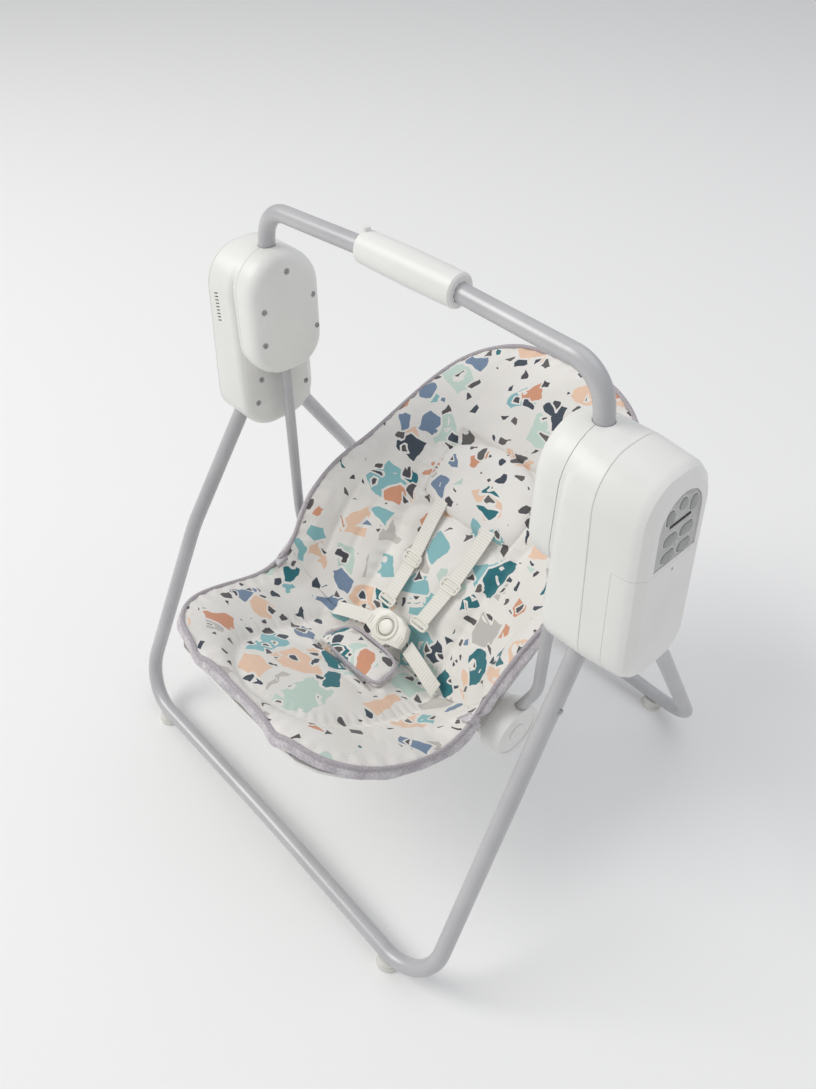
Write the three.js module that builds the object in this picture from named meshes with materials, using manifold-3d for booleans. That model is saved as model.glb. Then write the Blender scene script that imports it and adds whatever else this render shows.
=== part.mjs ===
// Portable baby swing: two bent-tube leg frames, two side housings with a carrying handle,
// and a padded bucket seat hung on two swing arms. Millimetres, +Z up, the baby faces -Y.
// Modelled about the mid plane X = 0 with the floor at Z = 0, then moved so that the origin
// is the bottom centre of the whole object.

import * as THREE from "three";
import { mergeVertices } from "three/addons/utils/BufferGeometryUtils.js";
import Module from "manifold-3d";

const wasm = await Module();
wasm.setup();

// ---------------------------------------------------------------- driving dimensions

const GAP = 0.3; // between pieces that touch
const WALL = 2.5; // moulded housing wall
const TUBE_WALL = 1.2; // steel tube wall

const LEG_TUBE_R = 10;
const ARM_TUBE_R = 7;
const HANDLE_TUBE_R = 10;

const FOOT_LIFT = 10; // floor to the underside of the floor bars
const FOOT_R = 15;
const FRONT_SPAN = 308; // half the front bar, to its corner
const REAR_SPAN = 299;
const FRONT_REACH = 258; // front bar ahead of the handle
const REAR_REACH = 302; // rear bar behind the handle
const CORNER_R = 62; // bend between leg and floor bar
const BAR_ARCH = 12; // rise of a floor bar at its middle
const FRONT_FOOT_X = 246;
const REAR_FOOT_X = 233;
const KNEE_Z = 281; // mild bend in each leg
const KNEE_R = 260;

const HOUSING_BOTTOM = 424;
const HOUSING_TOP = 663;
const HOUSING_HALF = 55; // half depth of a housing at its seams
const LEAN = THREE.MathUtils.degToRad(4.5); // housings lean in towards the top
const LEAN_Z = 540; // height at which the X values of the housings are given
const COVER_FACE_X = 208; // hub cover, face towards the seat
const COVER_SEAM_X = 242; // hub cover meets the frame shell
const SHELL_SEAM_X = { right: 288, left: 299 }; // frame shell meets the outer shell
const OUTER_FACE_X = { right: 341, left: 312 };
const COVER_HALF = 51;
const COVER_TOP = 667;
const COVER_BOTTOM = 512;

const HUB_Z = 590; // swing axis
const HUB_Y = -3;
const ARM_X = 225;
const AXLE_R = 6;
const BUSH_R = 10;

const PIVOT_Z = 450; // leg fold axes
const FRONT_PIVOT = { x: 285, y: -29 };
const REAR_PIVOT = { x: 277, y: 38 };
const EYE_R = 9.5;
const LEG_PIN_R = 4;
const PLUG_R = LEG_TUBE_R - TUBE_WALL - 0.8; // leg pivot plug, inside the tube
const FOLD = THREE.MathUtils.degToRad(24); // how far each leg frame folds in

const HANDLE_BASE = 612; // lower end of the handle posts, inside the housings
const HANDLE_X = 244; // post at the housing top
const HANDLE_TOP = 712;
const HANDLE_CORNER_X = 236;
const HANDLE_CORNER_R = 42;
const HANDLE_CROWN = 11; // rise of the crossbar at its middle
const GRIP_HALF = 68;
const GRIP_R = 18.5;

const DOOR_TOP = 566;
const DOOR_X = 313; // the door wraps the outer shell from here out
const PANEL_BOTTOM = 570;
const PANEL_TOP = 641;
const PANEL_HALF = 31;
const CELL_R = 13.1;
const CELL_LENGTH = 50;

const SEAT_HALF = 189; // half width of the seat pan
const CREASE = { y: -35, z: 181 }; // middle of the crease between pan and back
const PAN_REACH = 230;
const PAN_RISE = 122;
const BACK_REACH = 330;
const BACK_RISE = 317;
const PAD_THICK = 14;
const SHELL_THICK = 3;
const DRUM = { y: -19, z: 209, r: 37, inner: 189, outer: 217 };
const RECLINE_PIN_R = 7;
const STRAP_WIDTH = 20;
const STRAP_THICK = 1.8;
const SHOULDER_X = 43; // strap slots in the back pad
const BUCKLE = { y: -30, z: 228 };

// ---------------------------------------------------------------- materials

function plastic(color, roughness = 0.45) {
  return new THREE.MeshStandardMaterial({ color, roughness, metalness: 0 });
}

function metal(color, roughness = 0.35) {
  return new THREE.MeshStandardMaterial({ color, roughness, metalness: 0.6 });
}

const WHITE = plastic(0xececea);
const BUTTON_GREY = plastic(0x9b9c9b, 0.6);
const PANEL_GREY = plastic(0xb9bab8, 0.6);
const PAINTED_TUBE = metal(0xb9bac0);
const STEEL = metal(0x8d9094, 0.3);
const BOARD_GREEN = plastic(0x2f6a45, 0.7);
const CELL_SHEATH = plastic(0x3a3d42, 0.4);
const ACETAL = plastic(0xd9d6cb, 0.5);
const PATTERNED_CLOTH = plastic(0xe6e4e0, 0.95);
const WEBBING = plastic(0xe6e3da, 0.9);
const IVORY = plastic(0xe9e6dc, 0.4);
const FOOT_WHITE = plastic(0xe4e3df, 0.8);

// ---------------------------------------------------------------- solids

// A closed geometry from corner points and triangles, with its faces turned outwards.
function closedGeometry(points, triangles) {
  let volume = 0;
  for (const [a, b, c] of triangles) {
    volume += points[a].dot(points[b].clone().cross(points[c]));
  }
  const geometry = new THREE.BufferGeometry().setFromPoints(points);
  const outward = triangles.map(([a, b, c]) => (volume < 0 ? [a, c, b] : [a, b, c]));
  return geometry.setIndex(outward.flat());
}

function solidOf(geometry) {
  const bare = geometry.index ? geometry.toNonIndexed() : geometry.clone();
  bare.deleteAttribute("normal");
  bare.deleteAttribute("uv");
  const merged = mergeVertices(bare, 1e-4);
  const mesh = new wasm.Mesh({
    numProp: 3,
    vertProperties: merged.attributes.position.array,
    triVerts: new Uint32Array(merged.index.array),
  });
  return new wasm.Manifold(mesh);
}

function geometryOf(solid) {
  const mesh = solid.getMesh();
  const geometry = new THREE.BufferGeometry();
  geometry.setAttribute("position", new THREE.BufferAttribute(mesh.vertProperties, 3));
  geometry.setIndex(new THREE.BufferAttribute(mesh.triVerts, 1));
  return geometry;
}

// One body with others joined to it, then others cut from it.
function shaped(body, { add = [], cut = [] }) {
  let solid = solidOf(body);
  for (const piece of add) solid = solid.add(solidOf(piece));
  for (const piece of cut) solid = solid.subtract(solidOf(piece));
  return geometryOf(solid);
}

function boxFromTo(low, high) {
  const size = new THREE.Vector3().subVectors(high, low);
  const centre = new THREE.Vector3().addVectors(low, high).multiplyScalar(0.5);
  return new THREE.BoxGeometry(size.x, size.y, size.z).translate(centre.x, centre.y, centre.z);
}

function v3(x, y, z) {
  return new THREE.Vector3(x, y, z);
}

// A cylinder from one point to another.
function rod(from, to, radius, sides = 16, endRadius = radius) {
  const along = new THREE.Vector3().subVectors(to, from);
  const turn = new THREE.Quaternion().setFromUnitVectors(v3(0, 1, 0), along.clone().normalize());
  return new THREE.CylinderGeometry(endRadius, radius, along.length(), sides)
    .applyQuaternion(turn)
    .translate((from.x + to.x) / 2, (from.y + to.y) / 2, (from.z + to.z) / 2);
}

// ---------------------------------------------------------------- tubes

// A path of straight runs and round bends. Its steps fall on the ends of the runs and
// are close together only round the bends.
class BentPath extends THREE.Curve {
  constructor(corners, stepsPerBend = 5) {
    super();
    this.stations = [];
    corners.forEach(({ at, radius }, i) => {
      const before = corners[i - 1];
      const after = corners[i + 1];
      const inward = before && at.clone().sub(before.at).normalize();
      const outward = after && after.at.clone().sub(at).normalize();
      if (!before || !after) {
        this.stations.push({ point: at, tangent: outward || inward });
        return;
      }
      const turn = inward.angleTo(outward);
      const side = outward.clone().addScaledVector(inward, -inward.dot(outward)).normalize();
      const start = at.clone().addScaledVector(inward, -radius * Math.tan(turn / 2));
      const steps = Math.max(2, Math.round((stepsPerBend * turn) / (Math.PI / 2)));
      for (let k = 0; k <= steps; k++) {
        const angle = (turn * k) / steps;
        const point = start
          .clone()
          .addScaledVector(inward, radius * Math.sin(angle))
          .addScaledVector(side, radius * (1 - Math.cos(angle)));
        const tangent = inward.clone().multiplyScalar(Math.cos(angle));
        this.stations.push({ point, tangent: tangent.addScaledVector(side, Math.sin(angle)) });
      }
    });
    this.steps = this.stations.length - 1;
  }

  station(t) {
    return this.stations[Math.round(t * this.steps)];
  }

  getPoint(t, target = new THREE.Vector3()) {
    return target.copy(this.station(t).point);
  }

  getPointAt(u, target) {
    return this.getPoint(u, target);
  }

  getTangentAt(u, target = new THREE.Vector3()) {
    return target.copy(this.station(u).tangent);
  }
}

const TUBE_SIDES = 10;

// A round tube along a path, or a round bar if no wall is given.
function tubeAlong(path, radius, wall = 0) {
  const section = new THREE.Shape().absarc(0, 0, radius, 0, Math.PI * 2);
  if (wall) section.holes.push(new THREE.Path().absarc(0, 0, radius - wall, 0, Math.PI * 2));
  return new THREE.ExtrudeGeometry(section, {
    extrudePath: path,
    steps: path.steps,
    curveSegments: TUBE_SIDES / 2,
  });
}

// ---------------------------------------------------------------- housings

function leanAt(x, z) {
  return x - Math.tan(LEAN) * (z - LEAN_Z);
}

// The outline of a housing in Y and Z: a tall shape with round ends.
function outline({ half, top, bottom, topRadius, bottomRadius }, inset = 0) {
  const width = half - inset;
  const upper = Math.min(topRadius - inset, width);
  const lower = Math.min(bottomRadius - inset, width);
  const corners = [
    { y: width - upper, z: top - inset - upper, r: upper, from: 0 },
    { y: -width + upper, z: top - inset - upper, r: upper, from: 90 },
    { y: -width + lower, z: bottom + inset + lower, r: lower, from: 180 },
    { y: width - lower, z: bottom + inset + lower, r: lower, from: 270 },
  ];
  const steps = 8;
  return corners.flatMap(({ y, z, r, from }) =>
    Array.from({ length: steps + 1 }, (_, k) => {
      const angle = THREE.MathUtils.degToRad(from + (90 * k) / steps);
      return { y: y + r * Math.cos(angle), z: z + r * Math.sin(angle) };
    }),
  );
}

// A solid through outlines at increasing X. A station leans in with the housing or
// stands upright.
function loft(stations) {
  const rings = stations.map(({ x, upright, shape, inset = 0 }) =>
    outline(shape, inset).map(({ y, z }) => v3(upright ? x : leanAt(x, z), y, z)),
  );
  const count = rings[0].length;
  const points = rings.flat();
  const triangles = [];
  for (let i = 0; i + 1 < rings.length; i++) {
    for (let j = 0; j < count; j++) {
      const a = i * count + j;
      const b = i * count + ((j + 1) % count);
      triangles.push([a, b, b + count], [a, b + count, a + count]);
    }
  }
  for (const [start, order] of [[0, 1], [(rings.length - 1) * count, -1]]) {
    for (let j = 1; j + 1 < count; j++) {
      triangles.push(order > 0 ? [start, start + j + 1, start + j] : [start, start + j, start + j + 1]);
    }
  }
  return closedGeometry(points, triangles);
}

const COVER_SHAPE = {
  half: COVER_HALF,
  top: COVER_TOP,
  bottom: COVER_BOTTOM,
  topRadius: 49,
  bottomRadius: 42,
};
const HOUSING_SHAPE = {
  half: HOUSING_HALF,
  top: HOUSING_TOP,
  bottom: HOUSING_BOTTOM,
  topRadius: 47,
  bottomRadius: 42,
};

const COVER_SCREWS = [
  { y: 0, z: HUB_Z + 56 },
  { y: -36, z: HUB_Z + 16 },
  { y: 36, z: HUB_Z + 16 },
  { y: -39, z: HUB_Z - 26 },
  { y: 39, z: HUB_Z - 26 },
];
const SHELL_SCREWS = [
  { y: -29, z: HOUSING_BOTTOM + 75 },
  { y: -38, z: HOUSING_BOTTOM + 44 },
  { y: 39, z: HOUSING_BOTTOM + 46 },
];
const SCREW_DISH_R = 4.2;
const SCREW_DISH_DEPTH = 1.4;

function screwDishes(places, faceX) {
  return places.map(({ y, z }) =>
    rod(v3(faceX - 5, y, z), v3(faceX + SCREW_DISH_DEPTH, y, z), SCREW_DISH_R, 8),
  );
}

// The swept space that a leg needs in the bottom of its housing as it folds.
function legSlot(pivot, lower, foldSign) {
  const axis = v3(1, 0, 0);
  const centre = v3(pivot.x, pivot.y, PIVOT_Z);
  const along = lower.clone().sub(centre).setLength(60);
  const swings = [0, 0.5, 1.04].map((share) =>
    along.clone().applyAxisAngle(axis, foldSign * FOLD * share),
  );
  return swings.map((reach) => rod(centre, centre.clone().add(reach), LEG_TUBE_R + 1.8, 10));
}

const FRONT_KNEE = v3(299, -132, KNEE_Z);
const REAR_KNEE = v3(290, 152, KNEE_Z);

function legSlots() {
  return [...legSlot(FRONT_PIVOT, FRONT_KNEE, 1), ...legSlot(REAR_PIVOT, REAR_KNEE, -1)];
}

const HANDLE_LEAN = (HANDLE_X - HANDLE_CORNER_X) / (HANDLE_TOP - HOUSING_TOP);
const HANDLE_FOOT = v3(HANDLE_X + HANDLE_LEAN * (HOUSING_TOP - HANDLE_BASE), 0, HANDLE_BASE);
const HANDLE_CORNER = v3(HANDLE_CORNER_X, 0, HANDLE_TOP);

// The space of a handle post, which stands in the seam between hub cover and frame shell.
function postSpace() {
  return rod(HANDLE_FOOT, HANDLE_CORNER, HANDLE_TUBE_R + 2 * GAP, 16);
}

// Cup that covers the arm's hub, on the side towards the seat.
function hubCover() {
  const seam = COVER_SEAM_X - GAP;
  const body = loft([
    { x: COVER_FACE_X, upright: true, shape: COVER_SHAPE, inset: 18 },
    { x: COVER_FACE_X + 1.2, upright: true, shape: COVER_SHAPE, inset: 12 },
    { x: COVER_FACE_X + 4, upright: true, shape: COVER_SHAPE, inset: 6.5 },
    { x: COVER_FACE_X + 9, upright: true, shape: COVER_SHAPE, inset: 2.5 },
    { x: COVER_FACE_X + 16, upright: true, shape: COVER_SHAPE, inset: 0.5 },
    { x: COVER_FACE_X + 22, upright: true, shape: COVER_SHAPE },
    { x: seam, upright: true, shape: COVER_SHAPE },
  ]);
  const hollow = loft([
    { x: COVER_FACE_X + WALL, upright: true, shape: COVER_SHAPE, inset: 18 },
    { x: COVER_FACE_X + 7, upright: true, shape: COVER_SHAPE, inset: 8 },
    { x: COVER_FACE_X + 18, upright: true, shape: COVER_SHAPE, inset: WALL },
    { x: seam + 1, upright: true, shape: COVER_SHAPE, inset: WALL },
  ]);
  const slotHalf = ARM_TUBE_R + 22;
  const armSlot = boxFromTo(
    v3(ARM_X - ARM_TUBE_R - 3, HUB_Y - slotHalf, COVER_BOTTOM - 5),
    v3(seam + 1, HUB_Y + slotHalf, COVER_BOTTOM + 16),
  );
  return shaped(body, { cut: [hollow, armSlot, postSpace(), ...screwDishes(COVER_SCREWS, COVER_FACE_X)] });
}

// Shell that holds the handle post, the arm's bearing and the two leg pivots.
function frameShell(side) {
  const seam = SHELL_SEAM_X[side] - GAP / 2;
  const body = loft([
    { x: COVER_SEAM_X, upright: true, shape: HOUSING_SHAPE, inset: 12 },
    { x: COVER_SEAM_X + 2, upright: true, shape: HOUSING_SHAPE, inset: 7 },
    { x: COVER_SEAM_X + 5.5, upright: true, shape: HOUSING_SHAPE, inset: 3 },
    { x: COVER_SEAM_X + 10, upright: true, shape: HOUSING_SHAPE, inset: 0.8 },
    { x: COVER_SEAM_X + 15, upright: true, shape: HOUSING_SHAPE },
    { x: seam - 0.6, shape: HOUSING_SHAPE },
    { x: seam, shape: HOUSING_SHAPE, inset: 0.6 },
  ]);
  const hollow = loft([
    { x: COVER_SEAM_X + WALL, upright: true, shape: HOUSING_SHAPE, inset: 13 },
    { x: COVER_SEAM_X + 8, upright: true, shape: HOUSING_SHAPE, inset: 5 },
    { x: COVER_SEAM_X + 15, upright: true, shape: HOUSING_SHAPE, inset: WALL },
    { x: seam + 1, shape: HOUSING_SHAPE, inset: WALL },
  ]);
  // Behind the hub cover the shell comes out square to meet the cover's rim.
  const pedestal = loft([
    { x: COVER_SEAM_X, upright: true, shape: COVER_SHAPE, inset: 0.6 },
    { x: COVER_SEAM_X + 0.6, upright: true, shape: COVER_SHAPE },
    { x: COVER_SEAM_X + 16, upright: true, shape: COVER_SHAPE },
    { x: seam - 8, shape: HOUSING_SHAPE, inset: 1 },
  ]);
  const bushHole = rod(v3(230, HUB_Y, HUB_Z), v3(262, HUB_Y, HUB_Z), BUSH_R + GAP, 20);
  const pins = [FRONT_PIVOT, REAR_PIVOT].flatMap(({ x, y }) => [
    rod(v3(COVER_SEAM_X + 1.5, y, PIVOT_Z), v3(x - PLUG_R - 0.5, y, PIVOT_Z), LEG_PIN_R + 4, 12),
    rod(v3(x - PLUG_R - 2, y, PIVOT_Z), v3(x + PLUG_R + 0.5, y, PIVOT_Z), LEG_PIN_R, 12),
  ]);
  let shell = solidOf(shaped(body, { add: [pedestal] }));
  for (const space of [
    hollow,
    bushHole,
    postSpace(),
    ...screwDishes(SHELL_SCREWS, COVER_SEAM_X),
    ...legSlots(),
  ]) {
    shell = shell.subtract(solidOf(space));
  }
  for (const pin of pins) shell = shell.add(solidOf(pin));
  return geometryOf(shell);
}

function outerLoft(side, wall) {
  const from = SHELL_SEAM_X[side] + (wall ? -1 : GAP / 2);
  const face = OUTER_FACE_X[side];
  const chamfer = side === "right" ? 10 : 7;
  const draft = side === "right" ? 5 : 3;
  if (wall) {
    return loft([
      { x: from, shape: HOUSING_SHAPE, inset: wall },
      { x: face - chamfer, shape: HOUSING_SHAPE, inset: draft + wall },
      { x: face - wall, shape: HOUSING_SHAPE, inset: draft + chamfer * 1.2 + wall * 0.8 },
    ]);
  }
  return loft([
    { x: from, shape: HOUSING_SHAPE, inset: 0.6 },
    { x: from + 0.6, shape: HOUSING_SHAPE },
    { x: face - chamfer - 4, shape: HOUSING_SHAPE, inset: draft * 0.8 },
    { x: face - chamfer, shape: HOUSING_SHAPE, inset: draft + 0.6 },
    { x: face - chamfer * 0.6, shape: HOUSING_SHAPE, inset: draft + chamfer * 0.3 },
    { x: face, shape: HOUSING_SHAPE, inset: draft + chamfer * 1.2 },
  ]);
}

// A slab in front of a leaning plane at x, cut square in Z: what is outside x and between
// the heights.
function leaningSlab(x, low, high) {
  const far = x + 80;
  const corners = [
    [leanAt(x, low), low],
    [leanAt(far, low), low],
    [leanAt(far, high), high],
    [leanAt(x, high), high],
  ];
  const points = [-80, 80].flatMap((y) => corners.map(([cx, z]) => v3(cx, y, z)));
  const triangles = [
    [0, 1, 2], [0, 2, 3], [4, 6, 5], [4, 7, 6],
    [0, 4, 5], [0, 5, 1], [1, 5, 6], [1, 6, 2],
    [2, 6, 7], [2, 7, 3], [3, 7, 4], [3, 4, 0],
  ];
  return closedGeometry(points, triangles);
}

function archShape(half, low, high) {
  const shape = new THREE.Shape();
  shape.moveTo(-half, low);
  shape.lineTo(half, low);
  shape.lineTo(half, high - half);
  shape.absarc(0, high - half, half, 0, Math.PI, false);
  shape.closePath();
  return shape;
}

// Turns a flat outline in (Y, Z) into a plate on the leaning outer face, between two
// distances from that face.
function onOuterFace(shape, inner, outer, curveSegments = 6) {
  const plate = new THREE.ExtrudeGeometry(shape, {
    depth: outer - inner,
    bevelEnabled: false,
    curveSegments,
  });
  plate.translate(0, 0, inner);
  const toFace = new THREE.Matrix4().makeBasis(v3(0, 1, 0), v3(0, 0, 1), v3(1, 0, 0));
  plate.applyMatrix4(toFace);
  plate.translate(0, 0, -LEAN_Z);
  plate.rotateY(-LEAN);
  return plate.translate(OUTER_FACE_X.right, 0, LEAN_Z);
}

const PANEL_INNER = -6;
const PANEL_OUTER = -1;

function outerShell(side) {
  const cuts = [outerLoft(side, WALL), ...legSlots()];
  if (side === "right") {
    cuts.push(leaningSlab(DOOR_X - GAP, HOUSING_BOTTOM - 30, DOOR_TOP + GAP));
    cuts.push(onOuterFace(archShape(PANEL_HALF + GAP, PANEL_BOTTOM, PANEL_TOP + GAP), -12, 5));
  }
  return shaped(outerLoft(side, 0), { cut: cuts });
}

function batteryDoor() {
  const keep = solidOf(leaningSlab(DOOR_X, HOUSING_BOTTOM - 30, DOOR_TOP));
  const cap = solidOf(outerLoft("right", 0)).subtract(solidOf(outerLoft("right", WALL)));
  const screwHole = onOuterFace(discShape(0, DOOR_TOP - 8, 1.7), -12, 5, 5);
  return geometryOf(cap.intersect(keep).subtract(solidOf(screwHole)));
}

function discShape(y, z, radius) {
  return new THREE.Shape().absarc(y, z, radius, 0, Math.PI * 2);
}

function pillShape(y, z, length, height) {
  const r = height / 2;
  const run = length / 2 - r;
  const shape = new THREE.Shape();
  shape.absarc(y + run, z, r, -Math.PI / 2, Math.PI / 2, false);
  shape.absarc(y - run, z, r, Math.PI / 2, (Math.PI * 3) / 2, false);
  shape.closePath();
  return shape;
}

const BUTTONS = {
  power_button: { y: 0, z: 629, length: 11, height: 10.9 },
  swing_speed_button: { y: -17, z: 622, length: 11, height: 15 },
  timer_button: { y: 17, z: 622, length: 11, height: 15 },
  melody_button: { y: -12, z: 597, length: 19, height: 11 },
  nature_sound_button: { y: 12, z: 597, length: 19, height: 11 },
  volume_down_button: { y: -12, z: 579, length: 19, height: 11 },
  volume_up_button: { y: 12, z: 579, length: 19, height: 11 },
};

function buttonShape({ y, z, length, height }, clearance = 0) {
  const upright = height > length;
  if (!upright) return pillShape(y, z, length + 2 * clearance, height + 2 * clearance);
  const shape = pillShape(0, 0, height + 2 * clearance, length + 2 * clearance);
  const turned = shape.getPoints(4).map((p) => new THREE.Vector2(y - p.y, z + p.x));
  return new THREE.Shape(turned);
}

const BUTTON_CLEARANCE = 0.4;
const INDICATOR_SLOT = { y: 0, z: 610.5, length: 31, height: 3 };

function controlPanel() {
  const plate = onOuterFace(archShape(PANEL_HALF, PANEL_BOTTOM + GAP, PANEL_TOP), PANEL_INNER, PANEL_OUTER);
  const holes = Object.values(BUTTONS).map((button) =>
    onOuterFace(buttonShape(button, BUTTON_CLEARANCE), -20, 5, 4),
  );
  const { y, z, length, height } = INDICATOR_SLOT;
  holes.push(onOuterFace(pillShape(y, z, length, height), -3, 5, 3));
  return shaped(plate, { cut: holes });
}

// ---------------------------------------------------------------- drive and electrics

const GEAR_MODULE = 1.25;
const GEAR_TEETH = 40;
const PINION_TEETH = 10;
const GEAR_AXIS_Z = 543;
const PINION_AXIS_Z = GEAR_AXIS_Z + (GEAR_MODULE * (GEAR_TEETH + PINION_TEETH)) / 2;
const GEAR_X = 274;
const GEAR_THICK = 6;
const CRANK_RADIUS = 9;
const GEAR_SHAFT_R = 3;
const PINION_SHAFT_R = 1.2;

// Spur gear with straight-flanked teeth, its axis along X. A tooth, or a gap, points up.
function gear(teeth, toothPointsUp, boreRadius) {
  const pitchRadius = (GEAR_MODULE * teeth) / 2;
  const tip = pitchRadius + GEAR_MODULE * 0.9;
  const root = pitchRadius - GEAR_MODULE * 1.2;
  const pitchAngle = (Math.PI * 2) / teeth;
  const start = Math.PI / 2 + (toothPointsUp ? 0 : pitchAngle / 2);
  const points = [];
  for (let i = 0; i < teeth; i++) {
    const middle = start + i * pitchAngle;
    for (const [share, radius] of [[-0.34, root], [-0.12, tip], [0.12, tip], [0.34, root]]) {
      const angle = middle + share * pitchAngle;
      points.push(new THREE.Vector2(radius * Math.cos(angle), radius * Math.sin(angle)));
    }
  }
  const shape = new THREE.Shape(points);
  shape.holes.push(new THREE.Path().absarc(0, 0, boreRadius, 0, Math.PI * 2));
  const body = new THREE.ExtrudeGeometry(shape, {
    depth: GEAR_THICK,
    bevelEnabled: false,
    curveSegments: 5,
  });
  const toX = new THREE.Matrix4().makeBasis(v3(0, 1, 0), v3(0, 0, 1), v3(1, 0, 0));
  return body.applyMatrix4(toX);
}

const LEVER_X = 262;
const LEVER_THICK = 4;

// Gear whose crank pin faces the slotted lever on the axle and stops short of it.
function crankGear() {
  const body = gear(GEAR_TEETH, true, GEAR_SHAFT_R + 0.3).translate(GEAR_X, HUB_Y, GEAR_AXIS_Z);
  const pin = rod(
    v3(LEVER_X + LEVER_THICK + 1, HUB_Y, GEAR_AXIS_Z - CRANK_RADIUS),
    v3(GEAR_X + 1, HUB_Y, GEAR_AXIS_Z - CRANK_RADIUS),
    2.5,
    10,
  );
  return shaped(body, { add: [pin] });
}

function gearboxPlate() {
  const x = GEAR_X + GEAR_THICK + 1;
  const plate = boxFromTo(
    v3(x, HUB_Y - 34, GEAR_AXIS_Z - 34),
    v3(x + 3, HUB_Y + 34, PINION_AXIS_Z + 18),
  );
  const stub = rod(v3(GEAR_X - 2, HUB_Y, GEAR_AXIS_Z), v3(x + 1, HUB_Y, GEAR_AXIS_Z), GEAR_SHAFT_R, 12);
  const shaftHole = rod(v3(x - 5, HUB_Y, PINION_AXIS_Z), v3(x + 8, HUB_Y, PINION_AXIS_Z), 4, 12);
  return shaped(plate, { add: [stub], cut: [shaftHole] });
}

const MOTOR_X = GEAR_X + GEAR_THICK + 4 + GAP;
const MOTOR_R = 13.5;
const MOTOR_LENGTH = 38;

function motor() {
  const at = (x) => v3(x, HUB_Y, PINION_AXIS_Z);
  const can = rod(at(MOTOR_X), at(MOTOR_X + MOTOR_LENGTH), MOTOR_R, 20);
  const nose = rod(at(MOTOR_X - 2.5), at(MOTOR_X + 1), 3.5, 12);
  const shaft = rod(at(GEAR_X - 1), at(MOTOR_X), PINION_SHAFT_R, 8);
  return shaped(can, { add: [nose, shaft] });
}

const CELL_X = 318;
const CELL_LOW = HOUSING_BOTTOM + 16;
const CELL_Y = 14.5;

// Tray with a back wall, a middle rib and end plates that carry the contacts.
function batteryTray() {
  const back = leanAt(CELL_X, CELL_LOW) - CELL_R - 12;
  const low = CELL_LOW - 3;
  const high = CELL_LOW + 2 * CELL_LENGTH + 5;
  const width = CELL_Y + CELL_R + 3;
  const wall = boxFromTo(v3(back, -width, low), v3(back + 2, width, high));
  const shelf = (z) => boxFromTo(v3(back, -width, z - 1), v3(back + 28, width, z + 1));
  return shaped(wall, { add: [shelf(low + 1), shelf(high - 1)] });
}

function cell(column, row) {
  const low = CELL_LOW + row * (CELL_LENGTH + 1);
  const y = column * CELL_Y;
  const x = leanAt(CELL_X, low + CELL_LENGTH / 2) - 1;
  const body = rod(v3(x, y, low), v3(x, y, low + CELL_LENGTH - 1.5), CELL_R, 16);
  const tip = rod(v3(x, y, low + CELL_LENGTH - 2), v3(x, y, low + CELL_LENGTH), 3.5, 10);
  return shaped(body, { add: [tip] });
}

function circuitBoard() {
  const shape = archShape(PANEL_HALF - 4, PANEL_BOTTOM + 18, PANEL_TOP - 5);
  return onOuterFace(shape, -13, -11.4, 5);
}

function speaker() {
  const y = -HOUSING_HALF + WALL + 4;
  const centre = v3(SPEAKER.x, y, SPEAKER.z);
  const cone = rod(centre, centre.clone().add(v3(0, 6, 0)), 18, 20, 11);
  const magnet = rod(centre.clone().add(v3(0, 5, 0)), centre.clone().add(v3(0, 13, 0)), 9, 14);
  return shaped(cone, { add: [magnet] });
}

const SPEAKER = { x: 276, z: 594 };
const SLIT_COUNT = 9;

function speakerSlits() {
  return Array.from({ length: SLIT_COUNT }, (_, i) => {
    const z = SPEAKER.z + (i - (SLIT_COUNT - 1) / 2) * 4.4;
    const slit = new THREE.BoxGeometry(8, 14, 1.8).rotateY(THREE.MathUtils.degToRad(18));
    return slit.translate(SPEAKER.x + 3, -HOUSING_HALF, z);
  });
}

// ---------------------------------------------------------------- swing arms

const ARM_TOP = HUB_Z - 8;
const ARM_END = v3(206, -9, 238);

function swingArm() {
  const path = new BentPath([
    { at: v3(ARM_X, HUB_Y, ARM_TOP) },
    { at: v3(ARM_X, HUB_Y, 284), radius: 70 },
    { at: ARM_END },
  ]);
  return tubeAlong(path, ARM_TUBE_R, TUBE_WALL);
}

// Clamp block on the arm's top with the axle that turns in the bush. On the motor side
// the axle goes on to the slotted drive lever.
function hubAxle(driven) {
  const from = ARM_X - ARM_TUBE_R - 3;
  const to = ARM_X + ARM_TUBE_R + 3;
  const block = rod(v3(from, HUB_Y, HUB_Z), v3(to, HUB_Y, HUB_Z), 20, 20);
  const end = driven ? LEVER_X + LEVER_THICK : 262;
  const axle = rod(v3(to - 1, HUB_Y, HUB_Z), v3(end, HUB_Y, HUB_Z), AXLE_R, 16);
  const socket = rod(v3(ARM_X, HUB_Y, HUB_Z - 40), v3(ARM_X, HUB_Y, ARM_TOP + GAP), ARM_TUBE_R + GAP, 16);
  const add = [axle];
  const cut = [socket];
  if (driven) {
    add.push(
      boxFromTo(
        v3(LEVER_X, HUB_Y - 7, GEAR_AXIS_Z - CRANK_RADIUS - 14),
        v3(LEVER_X + LEVER_THICK, HUB_Y + 7, HUB_Z + 8),
      ),
    );
    cut.push(
      boxFromTo(
        v3(LEVER_X - 2, HUB_Y - 2.8, GEAR_AXIS_Z - CRANK_RADIUS - 8),
        v3(LEVER_X + LEVER_THICK + 2, HUB_Y + 2.8, GEAR_AXIS_Z + CRANK_RADIUS + 8),
      ),
    );
  }
  return shaped(block, { add, cut });
}

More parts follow.
